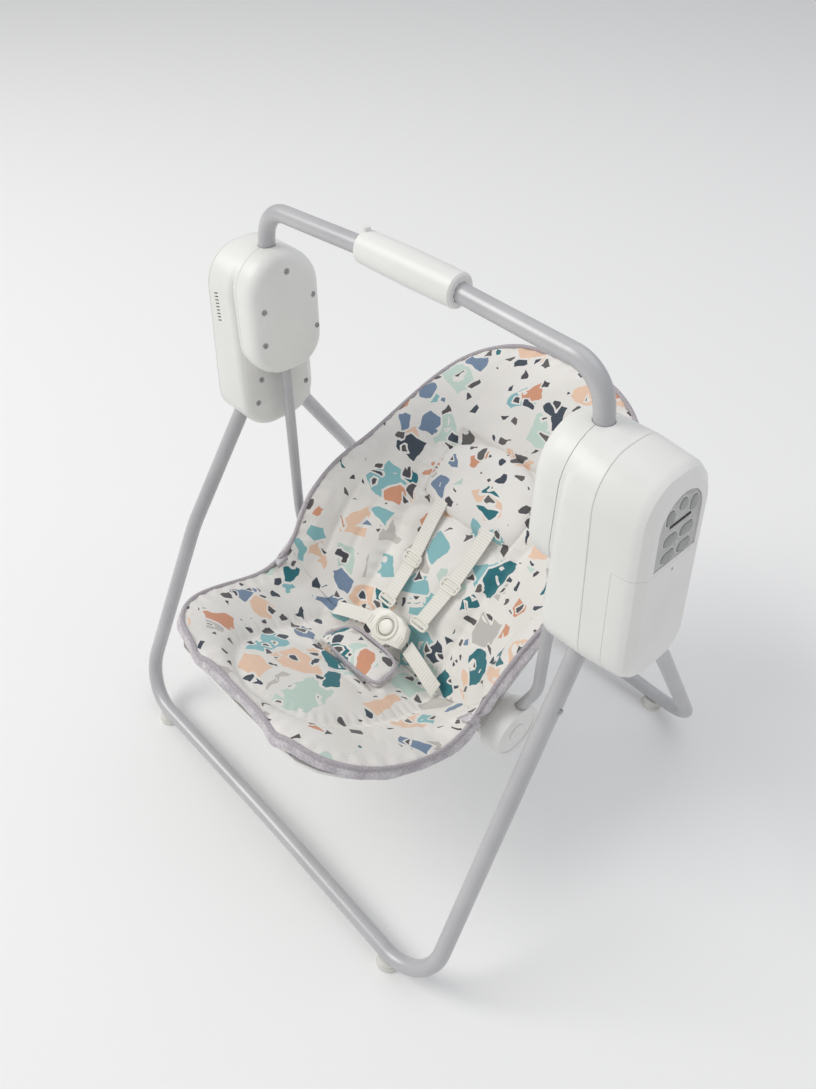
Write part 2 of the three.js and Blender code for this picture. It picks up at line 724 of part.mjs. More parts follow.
function bearingBush() {
  const at = (x) => v3(x, HUB_Y, HUB_Z);
  const sleeve = rod(at(ARM_X + ARM_TUBE_R + 4), at(COVER_SEAM_X + 12), BUSH_R, 20);
  const flange = rod(at(COVER_SEAM_X - 4), at(COVER_SEAM_X - GAP), BUSH_R + 4, 20);
  const bore = rod(at(ARM_X), at(COVER_SEAM_X + 20), AXLE_R + 0.3, 20);
  return shaped(sleeve, { add: [flange], cut: [bore] });
}

// Drum at the foot of an arm: the arm plugs into its rim, and the seat turns on it.
function seatBracket() {
  const at = (x) => v3(x, DRUM.y, DRUM.z);
  const drum = rod(at(DRUM.inner), at(DRUM.outer), DRUM.r, 24);
  const dish = rod(at(DRUM.outer - 2), at(DRUM.outer + 5), DRUM.r - 6, 24);
  const bore = rod(at(DRUM.inner - 5), at(DRUM.outer + 5), RECLINE_PIN_R + 0.5, 12);
  const up = v3(ARM_X, HUB_Y, 284).sub(ARM_END).normalize();
  const socket = rod(
    ARM_END.clone().addScaledVector(up, -GAP),
    ARM_END.clone().addScaledVector(up, 60),
    ARM_TUBE_R + 0.4,
    16,
  );
  return shaped(drum, { cut: [dish, bore, socket] });
}

// ---------------------------------------------------------------- leg frames

// Half of a leg frame's path, from the fold pivot down to the floor bar.
function legFrame({ pivot, knee, span, reach }) {
  const barZ = FOOT_LIFT + LEG_TUBE_R;
  const half = (sign) => [
    v3(sign * pivot.x, pivot.y, PIVOT_Z),
    v3(sign * knee.x, knee.y, knee.z),
    v3(sign * span, reach, barZ),
  ];
  const [top, bend, corner] = half(-1);
  const [topRight, bendRight, cornerRight] = half(1);
  const plugged = (pivotPoint, kneePoint) =>
    pivotPoint.clone().addScaledVector(kneePoint.clone().sub(pivotPoint).normalize(), 15);
  return new BentPath([
    { at: plugged(top, bend) },
    { at: bend, radius: KNEE_R },
    { at: corner, radius: CORNER_R },
    { at: v3(0, reach, barZ + BAR_ARCH), radius: 1500 },
    { at: cornerRight, radius: CORNER_R },
    { at: bendRight, radius: KNEE_R },
    { at: plugged(topRight, bendRight) },
  ]);
}

// Eye on the shell's pin, with a plug that fills the end of the leg tube.
function legPivot(pivot, knee) {
  const at = (dx) => v3(pivot.x + dx, pivot.y, PIVOT_Z);
  const centre = at(0);
  const down = knee.clone().sub(centre).normalize();
  const eye = rod(at(0.5 - PLUG_R), at(PLUG_R - 0.5), EYE_R, 16);
  const plug = rod(centre, centre.clone().addScaledVector(down, 40), PLUG_R, 10);
  const bore = rod(at(-PLUG_R - 4), at(PLUG_R + 4), LEG_PIN_R + 0.3, 12);
  return shaped(eye, { add: [plug], cut: [bore] });
}

// Round pad under a floor bar, with a saddle that fits the tube.
function foot(x, span, reach) {
  const barZ = FOOT_LIFT + LEG_TUBE_R;
  const slope = BAR_ARCH / span;
  const pad = rod(v3(x, reach, 0), v3(x, reach, FOOT_LIFT + 5), FOOT_R - 1.5, 20, FOOT_R - 3);
  const sole = rod(v3(x, reach, 0), v3(x, reach, 5), FOOT_R, 20);
  const alongBar = (dx) => v3(x + dx, reach, barZ + slope * (span - Math.abs(x) - Math.sign(x) * dx));
  const saddle = rod(alongBar(-30), alongBar(30), LEG_TUBE_R + 0.6, 16);
  return shaped(pad, { add: [sole], cut: [saddle] });
}

// ---------------------------------------------------------------- handle

function handlePath() {
  const mirrored = (point) => v3(-point.x, point.y, point.z);
  return new BentPath([
    { at: mirrored(HANDLE_FOOT) },
    { at: mirrored(HANDLE_CORNER), radius: HANDLE_CORNER_R },
    { at: v3(0, 0, HANDLE_TOP + HANDLE_CROWN), radius: 1400 },
    { at: HANDLE_CORNER, radius: HANDLE_CORNER_R },
    { at: HANDLE_FOOT },
  ], 8);
}

// Sleeve on the middle of the crossbar, slightly thicker in its middle.
function handleGrip() {
  const z = HANDLE_TOP + HANDLE_CROWN - 2;
  const profile = [
    [0, -GRIP_HALF],
    [GRIP_R - 3, -GRIP_HALF],
    [GRIP_R - 1, -GRIP_HALF + 2],
    [GRIP_R - 0.5, -GRIP_HALF + 22],
    [GRIP_R, 0],
    [GRIP_R - 0.5, GRIP_HALF - 22],
    [GRIP_R - 1, GRIP_HALF - 2],
    [GRIP_R - 3, GRIP_HALF],
    [0, GRIP_HALF],
  ].map(([r, h]) => new THREE.Vector2(r, h));
  const sleeve = new THREE.LatheGeometry(profile, 20).rotateZ(-Math.PI / 2).translate(0, 0, z);
  const lug = rod(v3(-GRIP_HALF + 3, 0, z + GRIP_R - 6), v3(-GRIP_HALF + 3, 0, z + GRIP_R + 3), 4.5, 10);
  const bore = tubeAlong(handlePath(), HANDLE_TUBE_R + 0.5);
  return shaped(sleeve, { add: [lug], cut: [bore] });
}

// ---------------------------------------------------------------- seat

// The bucket's stations from the front tip (run -1) over the crease (0) to the top of the
// back (+1): half width as a share of SEAT_HALF, and the height of the side edge above
// the middle.
const SEAT_STATIONS = [
  { run: -1, half: 0.3, edge: 1 },
  { run: -0.97, half: 0.6, edge: 6 },
  { run: -0.88, half: 0.8, edge: 14 },
  { run: -0.72, half: 0.94, edge: 24 },
  { run: -0.5, half: 1, edge: 33 },
  { run: -0.24, half: 1, edge: 46 },
  { run: 0, half: 0.97, edge: 80 },
  { run: 0.12, half: 1.01, edge: 91 },
  { run: 0.27, half: 1.04, edge: 74 },
  { run: 0.45, half: 1.01, edge: 37 },
  { run: 0.64, half: 0.965, edge: 14 },
  { run: 0.8, half: 0.85, edge: 8 },
  { run: 0.91, half: 0.68, edge: 4 },
  { run: 0.98, half: 0.42, edge: 2 },
  { run: 1, half: 0.22, edge: 0 },
];
const EDGE_FORWARD = 0.22; // the edge also comes forward by this share of its height

const stationCurve = new THREE.CatmullRomCurve3(
  SEAT_STATIONS.map(({ run, half, edge }) => v3(run, half, edge / 100)),
  false,
  "centripetal",
);

function middleOf(run) {
  if (run < 0) {
    return { y: CREASE.y + run * PAN_REACH, z: CREASE.z + PAN_RISE * Math.pow(-run, 1.4) };
  }
  const rise = run + 0.06 * Math.sin(Math.PI * run);
  return { y: CREASE.y + run * BACK_REACH, z: CREASE.z + BACK_RISE * rise };
}

// A point of the seat's upper surface: t runs from the front tip to the top of the back,
// across from -1 at the left edge to +1 at the right edge.
function seatPoint(t, across, insetWidth = 0, drop = 0) {
  const { x: run, y: halfShare, z: edgeShare } = stationCurve.getPoint(t);
  const middle = middleOf(THREE.MathUtils.clamp(run, -1, 1));
  const steepness = 2.2 + 2.4 * Math.exp(-Math.pow((run - 0.05) / 0.35, 2));
  const lift = edgeShare * 100 * Math.pow(Math.abs(across), steepness);
  const half = halfShare * SEAT_HALF - insetWidth;
  return v3(across * half, middle.y - EDGE_FORWARD * lift, middle.z + lift - drop);
}

// A closed slab between a grid of points and the same grid moved along its normals. The
// thickness may differ from place to place.
function slab(pointAt, rows, columns, thicknessAt, offset = 0) {
  const grid = [];
  for (let i = 0; i <= rows; i++) {
    for (let j = 0; j <= columns; j++) grid.push(pointAt(i / rows, j / columns));
  }
  const index = (i, j) => i * (columns + 1) + j;
  const clampTo = (value, most) => Math.min(Math.max(value, 0), most);
  const normals = grid.map((_, n) => {
    const i = Math.floor(n / (columns + 1));
    const j = n % (columns + 1);
    const pointOf = (row, column) => grid[index(clampTo(row, rows), clampTo(column, columns))];
    const alongRows = pointOf(i + 1, j).clone().sub(pointOf(i - 1, j));
    const alongColumns = pointOf(i, j + 1).clone().sub(pointOf(i, j - 1));
    return alongColumns.cross(alongRows).normalize();
  });
  const upper = grid.map((p, n) => p.clone().addScaledVector(normals[n], offset));
  const lower = upper.map((p, n) => {
    const place = [Math.floor(n / (columns + 1)) / rows, (n % (columns + 1)) / columns];
    return p.clone().addScaledVector(normals[n], -thicknessAt(...place));
  });
  const count = grid.length;
  const triangles = [];
  const quad = (a, b, c, d) => triangles.push([a, b, c], [a, c, d]);
  for (let i = 0; i < rows; i++) {
    for (let j = 0; j < columns; j++) {
      const [a, b, c, d] = [index(i, j), index(i, j + 1), index(i + 1, j + 1), index(i + 1, j)];
      quad(a, b, c, d);
      quad(a + count, d + count, c + count, b + count);
    }
  }
  for (let i = 0; i < rows; i++) {
    const [a, d] = [index(i, 0), index(i + 1, 0)];
    quad(a, d, d + count, a + count);
    const [b, c] = [index(i, columns), index(i + 1, columns)];
    quad(c, b, b + count, c + count);
  }
  for (let j = 0; j < columns; j++) {
    const [a, b] = [index(0, j), index(0, j + 1)];
    quad(b, a, a + count, b + count);
    const [d, c] = [index(rows, j), index(rows, j + 1)];
    quad(d, c, c + count, d + count);
  }
  return closedGeometry([...upper, ...lower], triangles);
}

const CREASE_T = 6 / (SEAT_STATIONS.length - 1);
const PAD_SPLIT = 0.008; // share of the seat's length between the two pads

const PAD_RIM_THICK = 5;

// The pads are full in the middle and thin out to their rims.
function padPart(from, to, rows) {
  const along = (a) => from + (to - from) * a;
  const fullness = (a, b) => {
    const tip = Math.abs(2 * along(a) - 1);
    return 1 - Math.max(Math.pow(Math.abs(2 * b - 1), 6), Math.pow(tip, 10));
  };
  const thickness = (a, b) => PAD_RIM_THICK + (PAD_THICK - PAD_RIM_THICK) * fullness(a, b);
  return slab((a, b) => seatPoint(along(a), 2 * b - 1), rows, 12, thickness);
}

const SHELL_ACROSS = 0.9; // the pads stand past the shell's edge on each side
const SHELL_CLEARANCE = 8;

// Moulded bucket under the pads, with a pivot stub on each side.
function seatShell() {
  const below = PAD_THICK + SHELL_CLEARANCE;
  const surface = (a, b) => seatPoint(0.085 + 0.835 * a, SHELL_ACROSS * (2 * b - 1));
  const bucket = slab(surface, 17, 10, () => SHELL_THICK, -below);
  const padSpace = slab(surface, 17, 10, () => below + 12.5, 12);
  let shell = solidOf(bucket);
  for (const sign of [-1, 1]) {
    const at = (x) => v3(sign * x, DRUM.y, DRUM.z);
    const boss = rod(at(SHELL_ACROSS * SEAT_HALF - 19), at(DRUM.inner - GAP), DRUM.r - 10, 18, DRUM.r - 3);
    const stub = shaped(boss, {
      add: [rod(at(DRUM.inner - 10), at(DRUM.outer - 3), RECLINE_PIN_R, 12)],
      cut: [padSpace],
    });
    shell = shell.add(solidOf(stub));
  }
  return geometryOf(shell);
}

// ---------------------------------------------------------------- harness

// A band of webbing through points, lying flat across X.
function band(points, width = STRAP_WIDTH, thickness = STRAP_THICK, rows = 12) {
  const curve = new THREE.CatmullRomCurve3(points, false, "centripetal");
  return slab((a, b) => curve.getPoint(a).add(v3((b - 0.5) * width, 0, 0)), rows, 1, () => thickness);
}

function shoulderStrap(sign) {
  return band([
    v3(sign * SHOULDER_X, 112, 358),
    v3(sign * (SHOULDER_X - 2), 82, 325),
    v3(sign * (SHOULDER_X - 7), 44, 284),
    v3(sign * (SHOULDER_X - 11), 6, 254),
    v3(sign * (SHOULDER_X - 12), -8, 243),
  ]);
}

function waistStrap(sign) {
  const path = [
    v3(sign * 37, BUCKLE.y - 4, BUCKLE.z - 4),
    v3(sign * 60, BUCKLE.y - 8, BUCKLE.z - 10),
    v3(sign * 84, BUCKLE.y - 12, BUCKLE.z - 18),
    v3(sign * 100, BUCKLE.y - 13, BUCKLE.z - 26),
  ];
  const curve = new THREE.CatmullRomCurve3(path, false, "centripetal");
  const across = v3(0, 0.82, 0.57).multiplyScalar(STRAP_WIDTH);
  return slab((a, b) => curve.getPoint(a).addScaledVector(across, b - 0.5), 8, 1, () => STRAP_THICK);
}

const BUCKLE_TILT = THREE.MathUtils.degToRad(38);
const BUCKLE_THICK = 13;
const BUCKLE_BUTTON_R = 12;

// Puts a piece that is modelled flat, facing +Z, at the buckle's place and tilt.
function atBuckle(geometry) {
  return geometry.rotateX(BUCKLE_TILT).translate(0, BUCKLE.y, BUCKLE.z);
}

function buckleBody() {
  const outlinePoints = [
    [-33, -13], [-14, -18], [-9, -27], [9, -27], [14, -18], [33, -13],
    [33, 3], [27, 15], [12, 21], [-12, 21], [-27, 15], [-33, 3],
  ].map(([x, y]) => new THREE.Vector2(x, y));
  const body = new THREE.ExtrudeGeometry(new THREE.Shape(outlinePoints), {
    depth: BUCKLE_THICK,
    bevelEnabled: false,
  });
  const well = new THREE.CylinderGeometry(BUCKLE_BUTTON_R + 0.5, BUCKLE_BUTTON_R + 0.5, 10, 24)
    .rotateX(Math.PI / 2)
    .translate(0, 0, BUCKLE_THICK);
  return atBuckle(shaped(body, { cut: [well] }));
}

function buckleButton() {
  const cap = new THREE.CylinderGeometry(BUCKLE_BUTTON_R - 2, BUCKLE_BUTTON_R, 5, 24)
    .rotateX(Math.PI / 2)
    .translate(0, 0, BUCKLE_THICK);
  return atBuckle(cap);
}

const CROTCH_PAD_THICK = 9;
const CROTCH_PAD_HALF = 49;

// Padded tongue between the legs that carries the buckle.
function crotchPad() {
  const low = v3(0, -108, 212);
  const high = v3(0, BUCKLE.y - 27, BUCKLE.z - 22);
  const run = high.clone().sub(low);
  return slab(
    (a, b) => {
      const across = 2 * b - 1;
      const point = low.clone().addScaledVector(run, a);
      const bulge = 7 * Math.sin(Math.PI * a) * (1 - across * across);
      return point.add(v3(across * (CROTCH_PAD_HALF - 8 * a), 0, 12 + bulge));
    },
    6,
    6,
    () => CROTCH_PAD_THICK,
  );
}

// ---------------------------------------------------------------- assembly

const model = new THREE.Group();

function addPiece(name, geometry, material, parent = model) {
  const mesh = new THREE.Mesh(geometry, material);
  mesh.name = name;
  parent.add(mesh);
}

const flanks = { right: new THREE.Group(), left: new THREE.Group() };
flanks.left.scale.x = -1;

for (const [side, flank] of Object.entries(flanks)) {
  model.add(flank);
  const add = (piece, geometry, material) => addPiece(`${side}_${piece}`, geometry, material, flank);
  let shell = frameShell(side);
  if (side === "left") shell = shaped(shell, { cut: speakerSlits() });
  add("hub_cover", hubCover(), WHITE);
  add("frame_shell", shell, WHITE);
  add("outer_shell", outerShell(side), WHITE);
  add("bearing_bush", bearingBush(), ACETAL);
  add("swing_arm", swingArm(), PAINTED_TUBE);
  add("hub_axle", hubAxle(side === "right"), STEEL);
  add("seat_bracket", seatBracket(), WHITE);
  add("front_leg_pivot", legPivot(FRONT_PIVOT, FRONT_KNEE), ACETAL);
  add("rear_leg_pivot", legPivot(REAR_PIVOT, REAR_KNEE), ACETAL);
  add("front_foot", foot(FRONT_FOOT_X, FRONT_SPAN, -FRONT_REACH), FOOT_WHITE);
  add("rear_foot", foot(REAR_FOOT_X, REAR_SPAN, REAR_REACH), FOOT_WHITE);
}
addPiece("speaker", speaker(), STEEL, flanks.left);

const frontLeg = { pivot: FRONT_PIVOT, knee: FRONT_KNEE, span: FRONT_SPAN, reach: -FRONT_REACH };
const rearLeg = { pivot: REAR_PIVOT, knee: REAR_KNEE, span: REAR_SPAN, reach: REAR_REACH };
addPiece("front_leg_tube", tubeAlong(legFrame(frontLeg), LEG_TUBE_R, TUBE_WALL), PAINTED_TUBE);
addPiece("rear_leg_tube", tubeAlong(legFrame(rearLeg), LEG_TUBE_R, TUBE_WALL), PAINTED_TUBE);
addPiece("handle_tube", tubeAlong(handlePath(), HANDLE_TUBE_R, TUBE_WALL), PAINTED_TUBE);
addPiece("handle_grip", handleGrip(), WHITE);

addPiece("battery_door", batteryDoor(), WHITE);
addPiece("control_panel", controlPanel(), PANEL_GREY);
for (const [name, button] of Object.entries(BUTTONS)) {
  addPiece(name, onOuterFace(buttonShape(button), PANEL_INNER - 2, PANEL_OUTER + 1.6, 4), BUTTON_GREY);
}
addPiece("circuit_board", circuitBoard(), BOARD_GREEN);
addPiece("battery_tray", batteryTray(), WHITE);
let cellNumber = 0;
for (const column of [-1, 1]) {
  for (const row of [0, 1]) {
    cellNumber += 1;
    addPiece(`battery_cell_${cellNumber}`, cell(column, row), CELL_SHEATH);
  }
}
addPiece("motor", motor(), STEEL);
addPiece(
  "motor_pinion",
  gear(PINION_TEETH, false, PINION_SHAFT_R + 0.3).translate(GEAR_X, HUB_Y, PINION_AXIS_Z),
  ACETAL,
);
addPiece("crank_gear", crankGear(), ACETAL);
addPiece("gearbox_plate", gearboxPlate(), STEEL);

addPiece("seat_shell", seatShell(), WHITE);
addPiece("seat_pan_pad", padPart(0, CREASE_T - PAD_SPLIT, 10), PATTERNED_CLOTH);
addPiece("seat_back_pad", padPart(CREASE_T + PAD_SPLIT, 1, 14), PATTERNED_CLOTH);
addPiece("crotch_pad", crotchPad(), PATTERNED_CLOTH);
for (const [side, sign] of [["right", 1], ["left", -1]]) {
  addPiece(`${side}_shoulder_strap`, shoulderStrap(sign), WEBBING);
  addPiece(`${side}_waist_strap`, waistStrap(sign), WEBBING);
}
addPiece("buckle_body", buckleBody(), IVORY);
addPiece("buckle_button", buckleButton(), IVORY);

// The origin goes to the bottom centre of the whole object.
model.updateMatrixWorld(true);
const extent = new THREE.Box3().setFromObject(model, true);
const middle = extent.getCenter(new THREE.Vector3());
model.position.set(-middle.x, -middle.y, -extent.min.z);

const group = new THREE.Group();
group.add(model);

export default group;
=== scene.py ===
import math

import bmesh
import bpy
from mathutils import Matrix, Vector
from mathutils.bvhtree import BVHTree
from mathutils.kdtree import KDTree


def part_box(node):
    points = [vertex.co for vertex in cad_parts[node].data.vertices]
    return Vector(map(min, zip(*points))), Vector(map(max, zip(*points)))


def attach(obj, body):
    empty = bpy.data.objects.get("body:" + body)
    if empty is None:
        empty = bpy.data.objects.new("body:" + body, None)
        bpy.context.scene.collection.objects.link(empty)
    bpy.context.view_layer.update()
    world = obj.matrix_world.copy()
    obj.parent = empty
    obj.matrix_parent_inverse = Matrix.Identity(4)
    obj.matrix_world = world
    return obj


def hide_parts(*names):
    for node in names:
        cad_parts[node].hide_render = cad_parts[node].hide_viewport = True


# A portable baby swing: two bent-tube leg frames, two side housings with a carrying handle, and a
# padded bucket seat on two swing arms. Sizes below are millimetres from the swing's middle plane (x),
# the plane of its handle (y) and the floor (z); place() turns them into the frame's metres.

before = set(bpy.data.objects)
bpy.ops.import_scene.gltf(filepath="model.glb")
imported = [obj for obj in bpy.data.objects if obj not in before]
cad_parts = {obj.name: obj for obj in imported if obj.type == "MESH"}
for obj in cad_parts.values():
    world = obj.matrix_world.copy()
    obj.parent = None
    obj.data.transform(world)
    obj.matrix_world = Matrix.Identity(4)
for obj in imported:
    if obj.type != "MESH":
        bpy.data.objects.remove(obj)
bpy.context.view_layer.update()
MM = 0.001
handle_low, handle_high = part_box("handle_tube")
middle_x = (handle_low.x + handle_high.x) / 2
middle_y = (handle_low.y + handle_high.y) / 2


def place(x, y, z):
    return Vector((middle_x + x * MM, middle_y + y * MM, z * MM))


# ---------------------------------------------------------------- camera, light and floor
# A standing adult's view, from the front right and well above. A large soft light stands in front on
# the left, so that the faces turned away to the right fall into a soft grey.

camera = bpy.data.objects.new("camera", bpy.data.cameras.new("camera"))
bpy.context.scene.collection.objects.link(camera)
bpy.context.scene.camera = camera
camera.data.sensor_width = 36
camera.data.lens = 28.98
camera.data.clip_start = 0.05
camera.location = place(587.2, -555.3, 1090.5)
look = place(0, 0, 360.7) - camera.location
roll = Matrix.Rotation(math.radians(0.6), 3, "Z")
camera.rotation_euler = (look.to_track_quat("-Z", "Y").to_matrix() @ roll).to_euler()


def linear(hex_colour):
    """An sRGB hex colour as the linear RGBA that a shader takes."""
    channels = [int(hex_colour[i : i + 2], 16) / 255 for i in (0, 2, 4)]
    return tuple(c / 12.92 if c <= 0.04045 else ((c + 0.055) / 1.055) ** 2.4 for c in channels) + (1,)


def soft_light(name, spot, aim, size, power, colour):
    lamp = bpy.data.lights.new(name, "AREA")
    lamp.size = size
    lamp.energy = power
    lamp.color = linear(colour)[:3]
    lamp_object = bpy.data.objects.new(name, lamp)
    lamp_object.location = spot
    lamp_object.rotation_euler = (aim - spot).to_track_quat("-Z", "Y").to_euler()
    bpy.context.scene.collection.objects.link(lamp_object)


seat_middle = place(0, 0, 350)
soft_light("window_light", place(-3000, -3000, 4200), seat_middle, 3.0, 150, "FFFDF8")
soft_light("overhead_light", place(600, 1400, 4600), seat_middle, 4.0, 40, "F8FAFF")

world = bpy.data.worlds.new("studio")
bpy.context.scene.world = world
world.use_nodes = True
world.node_tree.nodes["Background"].inputs["Color"].default_value = linear("F6F7F9")
world.node_tree.nodes["Background"].inputs["Strength"].default_value = 0.55
bpy.context.scene.view_settings.view_transform = "Standard"


def add_node(tree, kind, inputs=None, **settings):
    """A shader node with its settings; each input takes a number, a colour or another socket."""
    made = tree.nodes.new(kind)
    for name, value in settings.items():
        setattr(made, name, value)
    for name, value in (inputs or {}).items():
        if isinstance(value, bpy.types.NodeSocket):
            tree.links.new(value, made.inputs[name])
        else:
            made.inputs[name].default_value = value
    return made


def new_material(name, **values):
    """A material with one Principled shader; returns the material, its tree and the shader."""
    material = bpy.data.materials.new(name)
    material.use_nodes = True
    tree = material.node_tree
    shader = tree.nodes["Principled BSDF"]
    for key, value in values.items():
        shader.inputs[key.replace("_", " ")].default_value = value
    return material, tree, shader


def ramp_stops(ramp_node, stops, interpolation="LINEAR"):
    ramp = ramp_node.color_ramp
    ramp.interpolation = interpolation
    while len(ramp.elements) < len(stops):
        ramp.elements.new(1)
    for element, (position, colour) in zip(ramp.elements, stops):
        element.position = position
        element.color = colour


def grain_bump(tree, shader, size_mm, height_mm, detail=2.0):
    """Fine moulded or sprayed grain of a given size and height."""
    spot = add_node(tree, "ShaderNodeTexCoord")
    grain = add_node(
        tree,
        "ShaderNodeTexNoise",
        {"Vector": spot.outputs["Object"], "Scale": 1000 / size_mm, "Detail": detail},
    )
    bump = add_node(
        tree,
        "ShaderNodeBump",
        {"Height": grain.outputs[0], "Strength": 1.0, "Distance": height_mm * MM},
    )
    tree.links.new(bump.outputs[0], shader.inputs["Normal"])
    return spot


# Painted studio floor: matt and nearly white, so that only the contact shadows show on it.
floor_paint, tree, shader = new_material(
    "matt_white_floor_paint", Base_Color=linear("F7F7F7"), Roughness=0.9
)
grain_bump(tree, shader, 6, 0.02)
floor_mesh = bmesh.new()
bmesh.ops.create_grid(floor_mesh, x_segments=1, y_segments=1, size=6)
floor = bpy.data.objects.new("floor", bpy.data.meshes.new("floor"))
floor_mesh.to_mesh(floor.data)
floor.data.materials.append(floor_paint)
bpy.context.scene.collection.objects.link(floor)


# ---------------------------------------------------------------- steel tubes
# The leg frames, the handle and the swing arms are bent steel tube with a silver-grey powder coat.
# Each is swept along straight runs and round bends, as a tube bender makes it.

TUBE_R = 10
ARM_R = 7


def bent_line(corners):
    """Points along straight runs joined by arcs; corners are (point, bend radius) in millimetres."""
    spots = [place(*spot) for spot, _ in corners]
    line = [spots[0]]
    for i in range(1, len(corners) - 1):
        inward = (spots[i] - spots[i - 1]).normalized()
        outward = (spots[i + 1] - spots[i]).normalized()
        turn = inward.angle(outward)
        radius = corners[i][1] * MM
        side = (outward - inward * outward.dot(inward)).normalized()
        start = spots[i] - inward * radius * math.tan(turn / 2)
        steps = max(4, round(turn / math.radians(5)))
        for k in range(steps + 1):
            a = turn * k / steps
            line.append(start + inward * radius * math.sin(a) + side * radius * (1 - math.cos(a)))
    return line + [spots[-1]]


def piece(name, mesh, body, material):
    """A finished mesh as an object at the origin that rides on a body of the frame."""
    made = bpy.data.objects.new(name, mesh)
    bpy.context.scene.collection.objects.link(made)
    mesh.materials.clear()
    mesh.materials.append(material)
    mesh.polygons.foreach_set("use_smooth", [True] * len(mesh.polygons))
    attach(made, body)
    return made


def made_mesh(source):
    """The mesh that a curve, or an object with modifiers, comes out as."""
    return bpy.data.meshes.new_from_object(source.evaluated_get(bpy.context.evaluated_depsgraph_get()))


def swept(name, line, radius, body, material, closed=False, sides=6):
    """A round rod or tube along a line of points in metres."""
    curve = bpy.data.curves.new(name, "CURVE")
    curve.dimensions = "3D"
    curve.bevel_depth = radius * MM
    curve.bevel_resolution = sides
    curve.use_fill_caps = not closed
    spline = curve.splines.new("POLY")
    spline.points.add(len(line) - 1)
    spline.use_cyclic_u = closed
    for point, spot in zip(spline.points, line):
        point.co = (*spot, 1)
    holder = bpy.data.objects.new(name + "_line", curve)
    bpy.context.scene.collection.objects.link(holder)
    mesh = made_mesh(holder)
    bpy.data.objects.remove(holder)
    bpy.data.curves.remove(curve)
    tidy = bmesh.new()
    tidy.from_mesh(mesh)
    bmesh.ops.remove_doubles(tidy, verts=tidy.verts, dist=1e-6)
    bmesh.ops.recalc_face_normals(tidy, faces=tidy.faces)
    for edge in tidy.edges:
        edge.smooth = len(edge.link_faces) == 2 and edge.calc_face_angle() < math.radians(50)
    tidy.to_mesh(mesh)
    return piece(name, mesh, body, material)


def two_tones(tree, shader, spot, size_mm, dark, pale, ends=(0.3, 0.7), detail=2):
    """A surface that isn't quite even: blotches of a given size between two sRGB colours."""
    blotches_per_metre = round(1000 / size_mm)
    blotches = add_node(
        tree,
        "ShaderNodeTexNoise",
        {"Vector": spot.outputs["Object"], "Scale": blotches_per_metre, "Detail": detail},
    )
    tone = add_node(tree, "ShaderNodeValToRGB", {"Fac": blotches.outputs[0]})
    ramp_stops(tone, [(ends[0], linear(dark)), (ends[1], linear(pale))])
    tree.links.new(tone.outputs[0], shader.inputs["Base Color"])
    return blotches


# Powder coat over steel: a half-gloss silver-grey skin with a very fine orange peel.
tube_coat, tree, shader = new_material(
    "silver_grey_powder_coat",
    Metallic=0.12,
    Roughness=0.36,
    IOR=1.5,
    Coat_Weight=0.25,
    Coat_Roughness=0.22,
)
spot = grain_bump(tree, shader, 1.6, 0.02)
two_tones(tree, shader, spot, 71.4, "B9B9BC", "C3C3C5", (0.35, 0.65), detail=3)

FOLD_Z = 450
front_leg_corners = [((285, -29, FOLD_Z), 0), ((299, -132, 281), 260), ((308, -258, 20), 62)]
rear_leg_corners = [((277, 38, FOLD_Z), 0), ((290, 152, 281), 260), ((299, 302, 20), 62)]
BAR_TOP = 32
# A leg tube starts this far below its pivot, inside the housing.
TUBE_START = 15

for name, corners in (("front_leg_tube", front_leg_corners), ("rear_leg_tube", rear_leg_corners)):
    pivot, knee = (Vector(corners[i][0]) for i in (0, 1))
    tube_end = tuple(pivot + (knee - pivot).normalized() * TUBE_START)
    half = [(tube_end, 0)] + corners[1:]
    middle = [((0, corners[2][0][1], BAR_TOP), 1500)]
    left_half = [((-spot[0], spot[1], spot[2]), radius) for spot, radius in half]
    line = bent_line(left_half + middle + half[::-1])
    tube = swept(name + "_coated", line, TUBE_R, name.replace("_tube", ""), tube_coat)
    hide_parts(name)

handle_corners = [((252.3, 0, 612), 0), ((236, 0, 712), 42)]
handle_line = bent_line(
    [((-spot[0], spot[1], spot[2]), radius) for spot, radius in handle_corners]
    + [((0, 0, 723), 1400)]
    + handle_corners[::-1]
)
handle = swept("handle_tube_coated", handle_line, TUBE_R, "frame", tube_coat, sides=8)
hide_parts("handle_tube")

for side, sign in (("right", 1), ("left", -1)):
    arm_corners = [((225, -3, 582), 0), ((225, -3, 284), 70), ((206, -9, 238), 0)]
    arm_line = bent_line([((sign * x, y, z), radius) for (x, y, z), radius in arm_corners])
    arm = swept(side + "_swing_arm_coated", arm_line, ARM_R, "swing", tube_coat)
    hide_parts(side + "_swing_arm")


# ---------------------------------------------------------------- moulded housings
# Each side housing is three moulded ABS shells: a rounded hub cover towards the seat, the frame shell
# that takes the handle and the legs, and an outer shell. They come from the frame's solids, merged.

SHARP = math.radians(36)


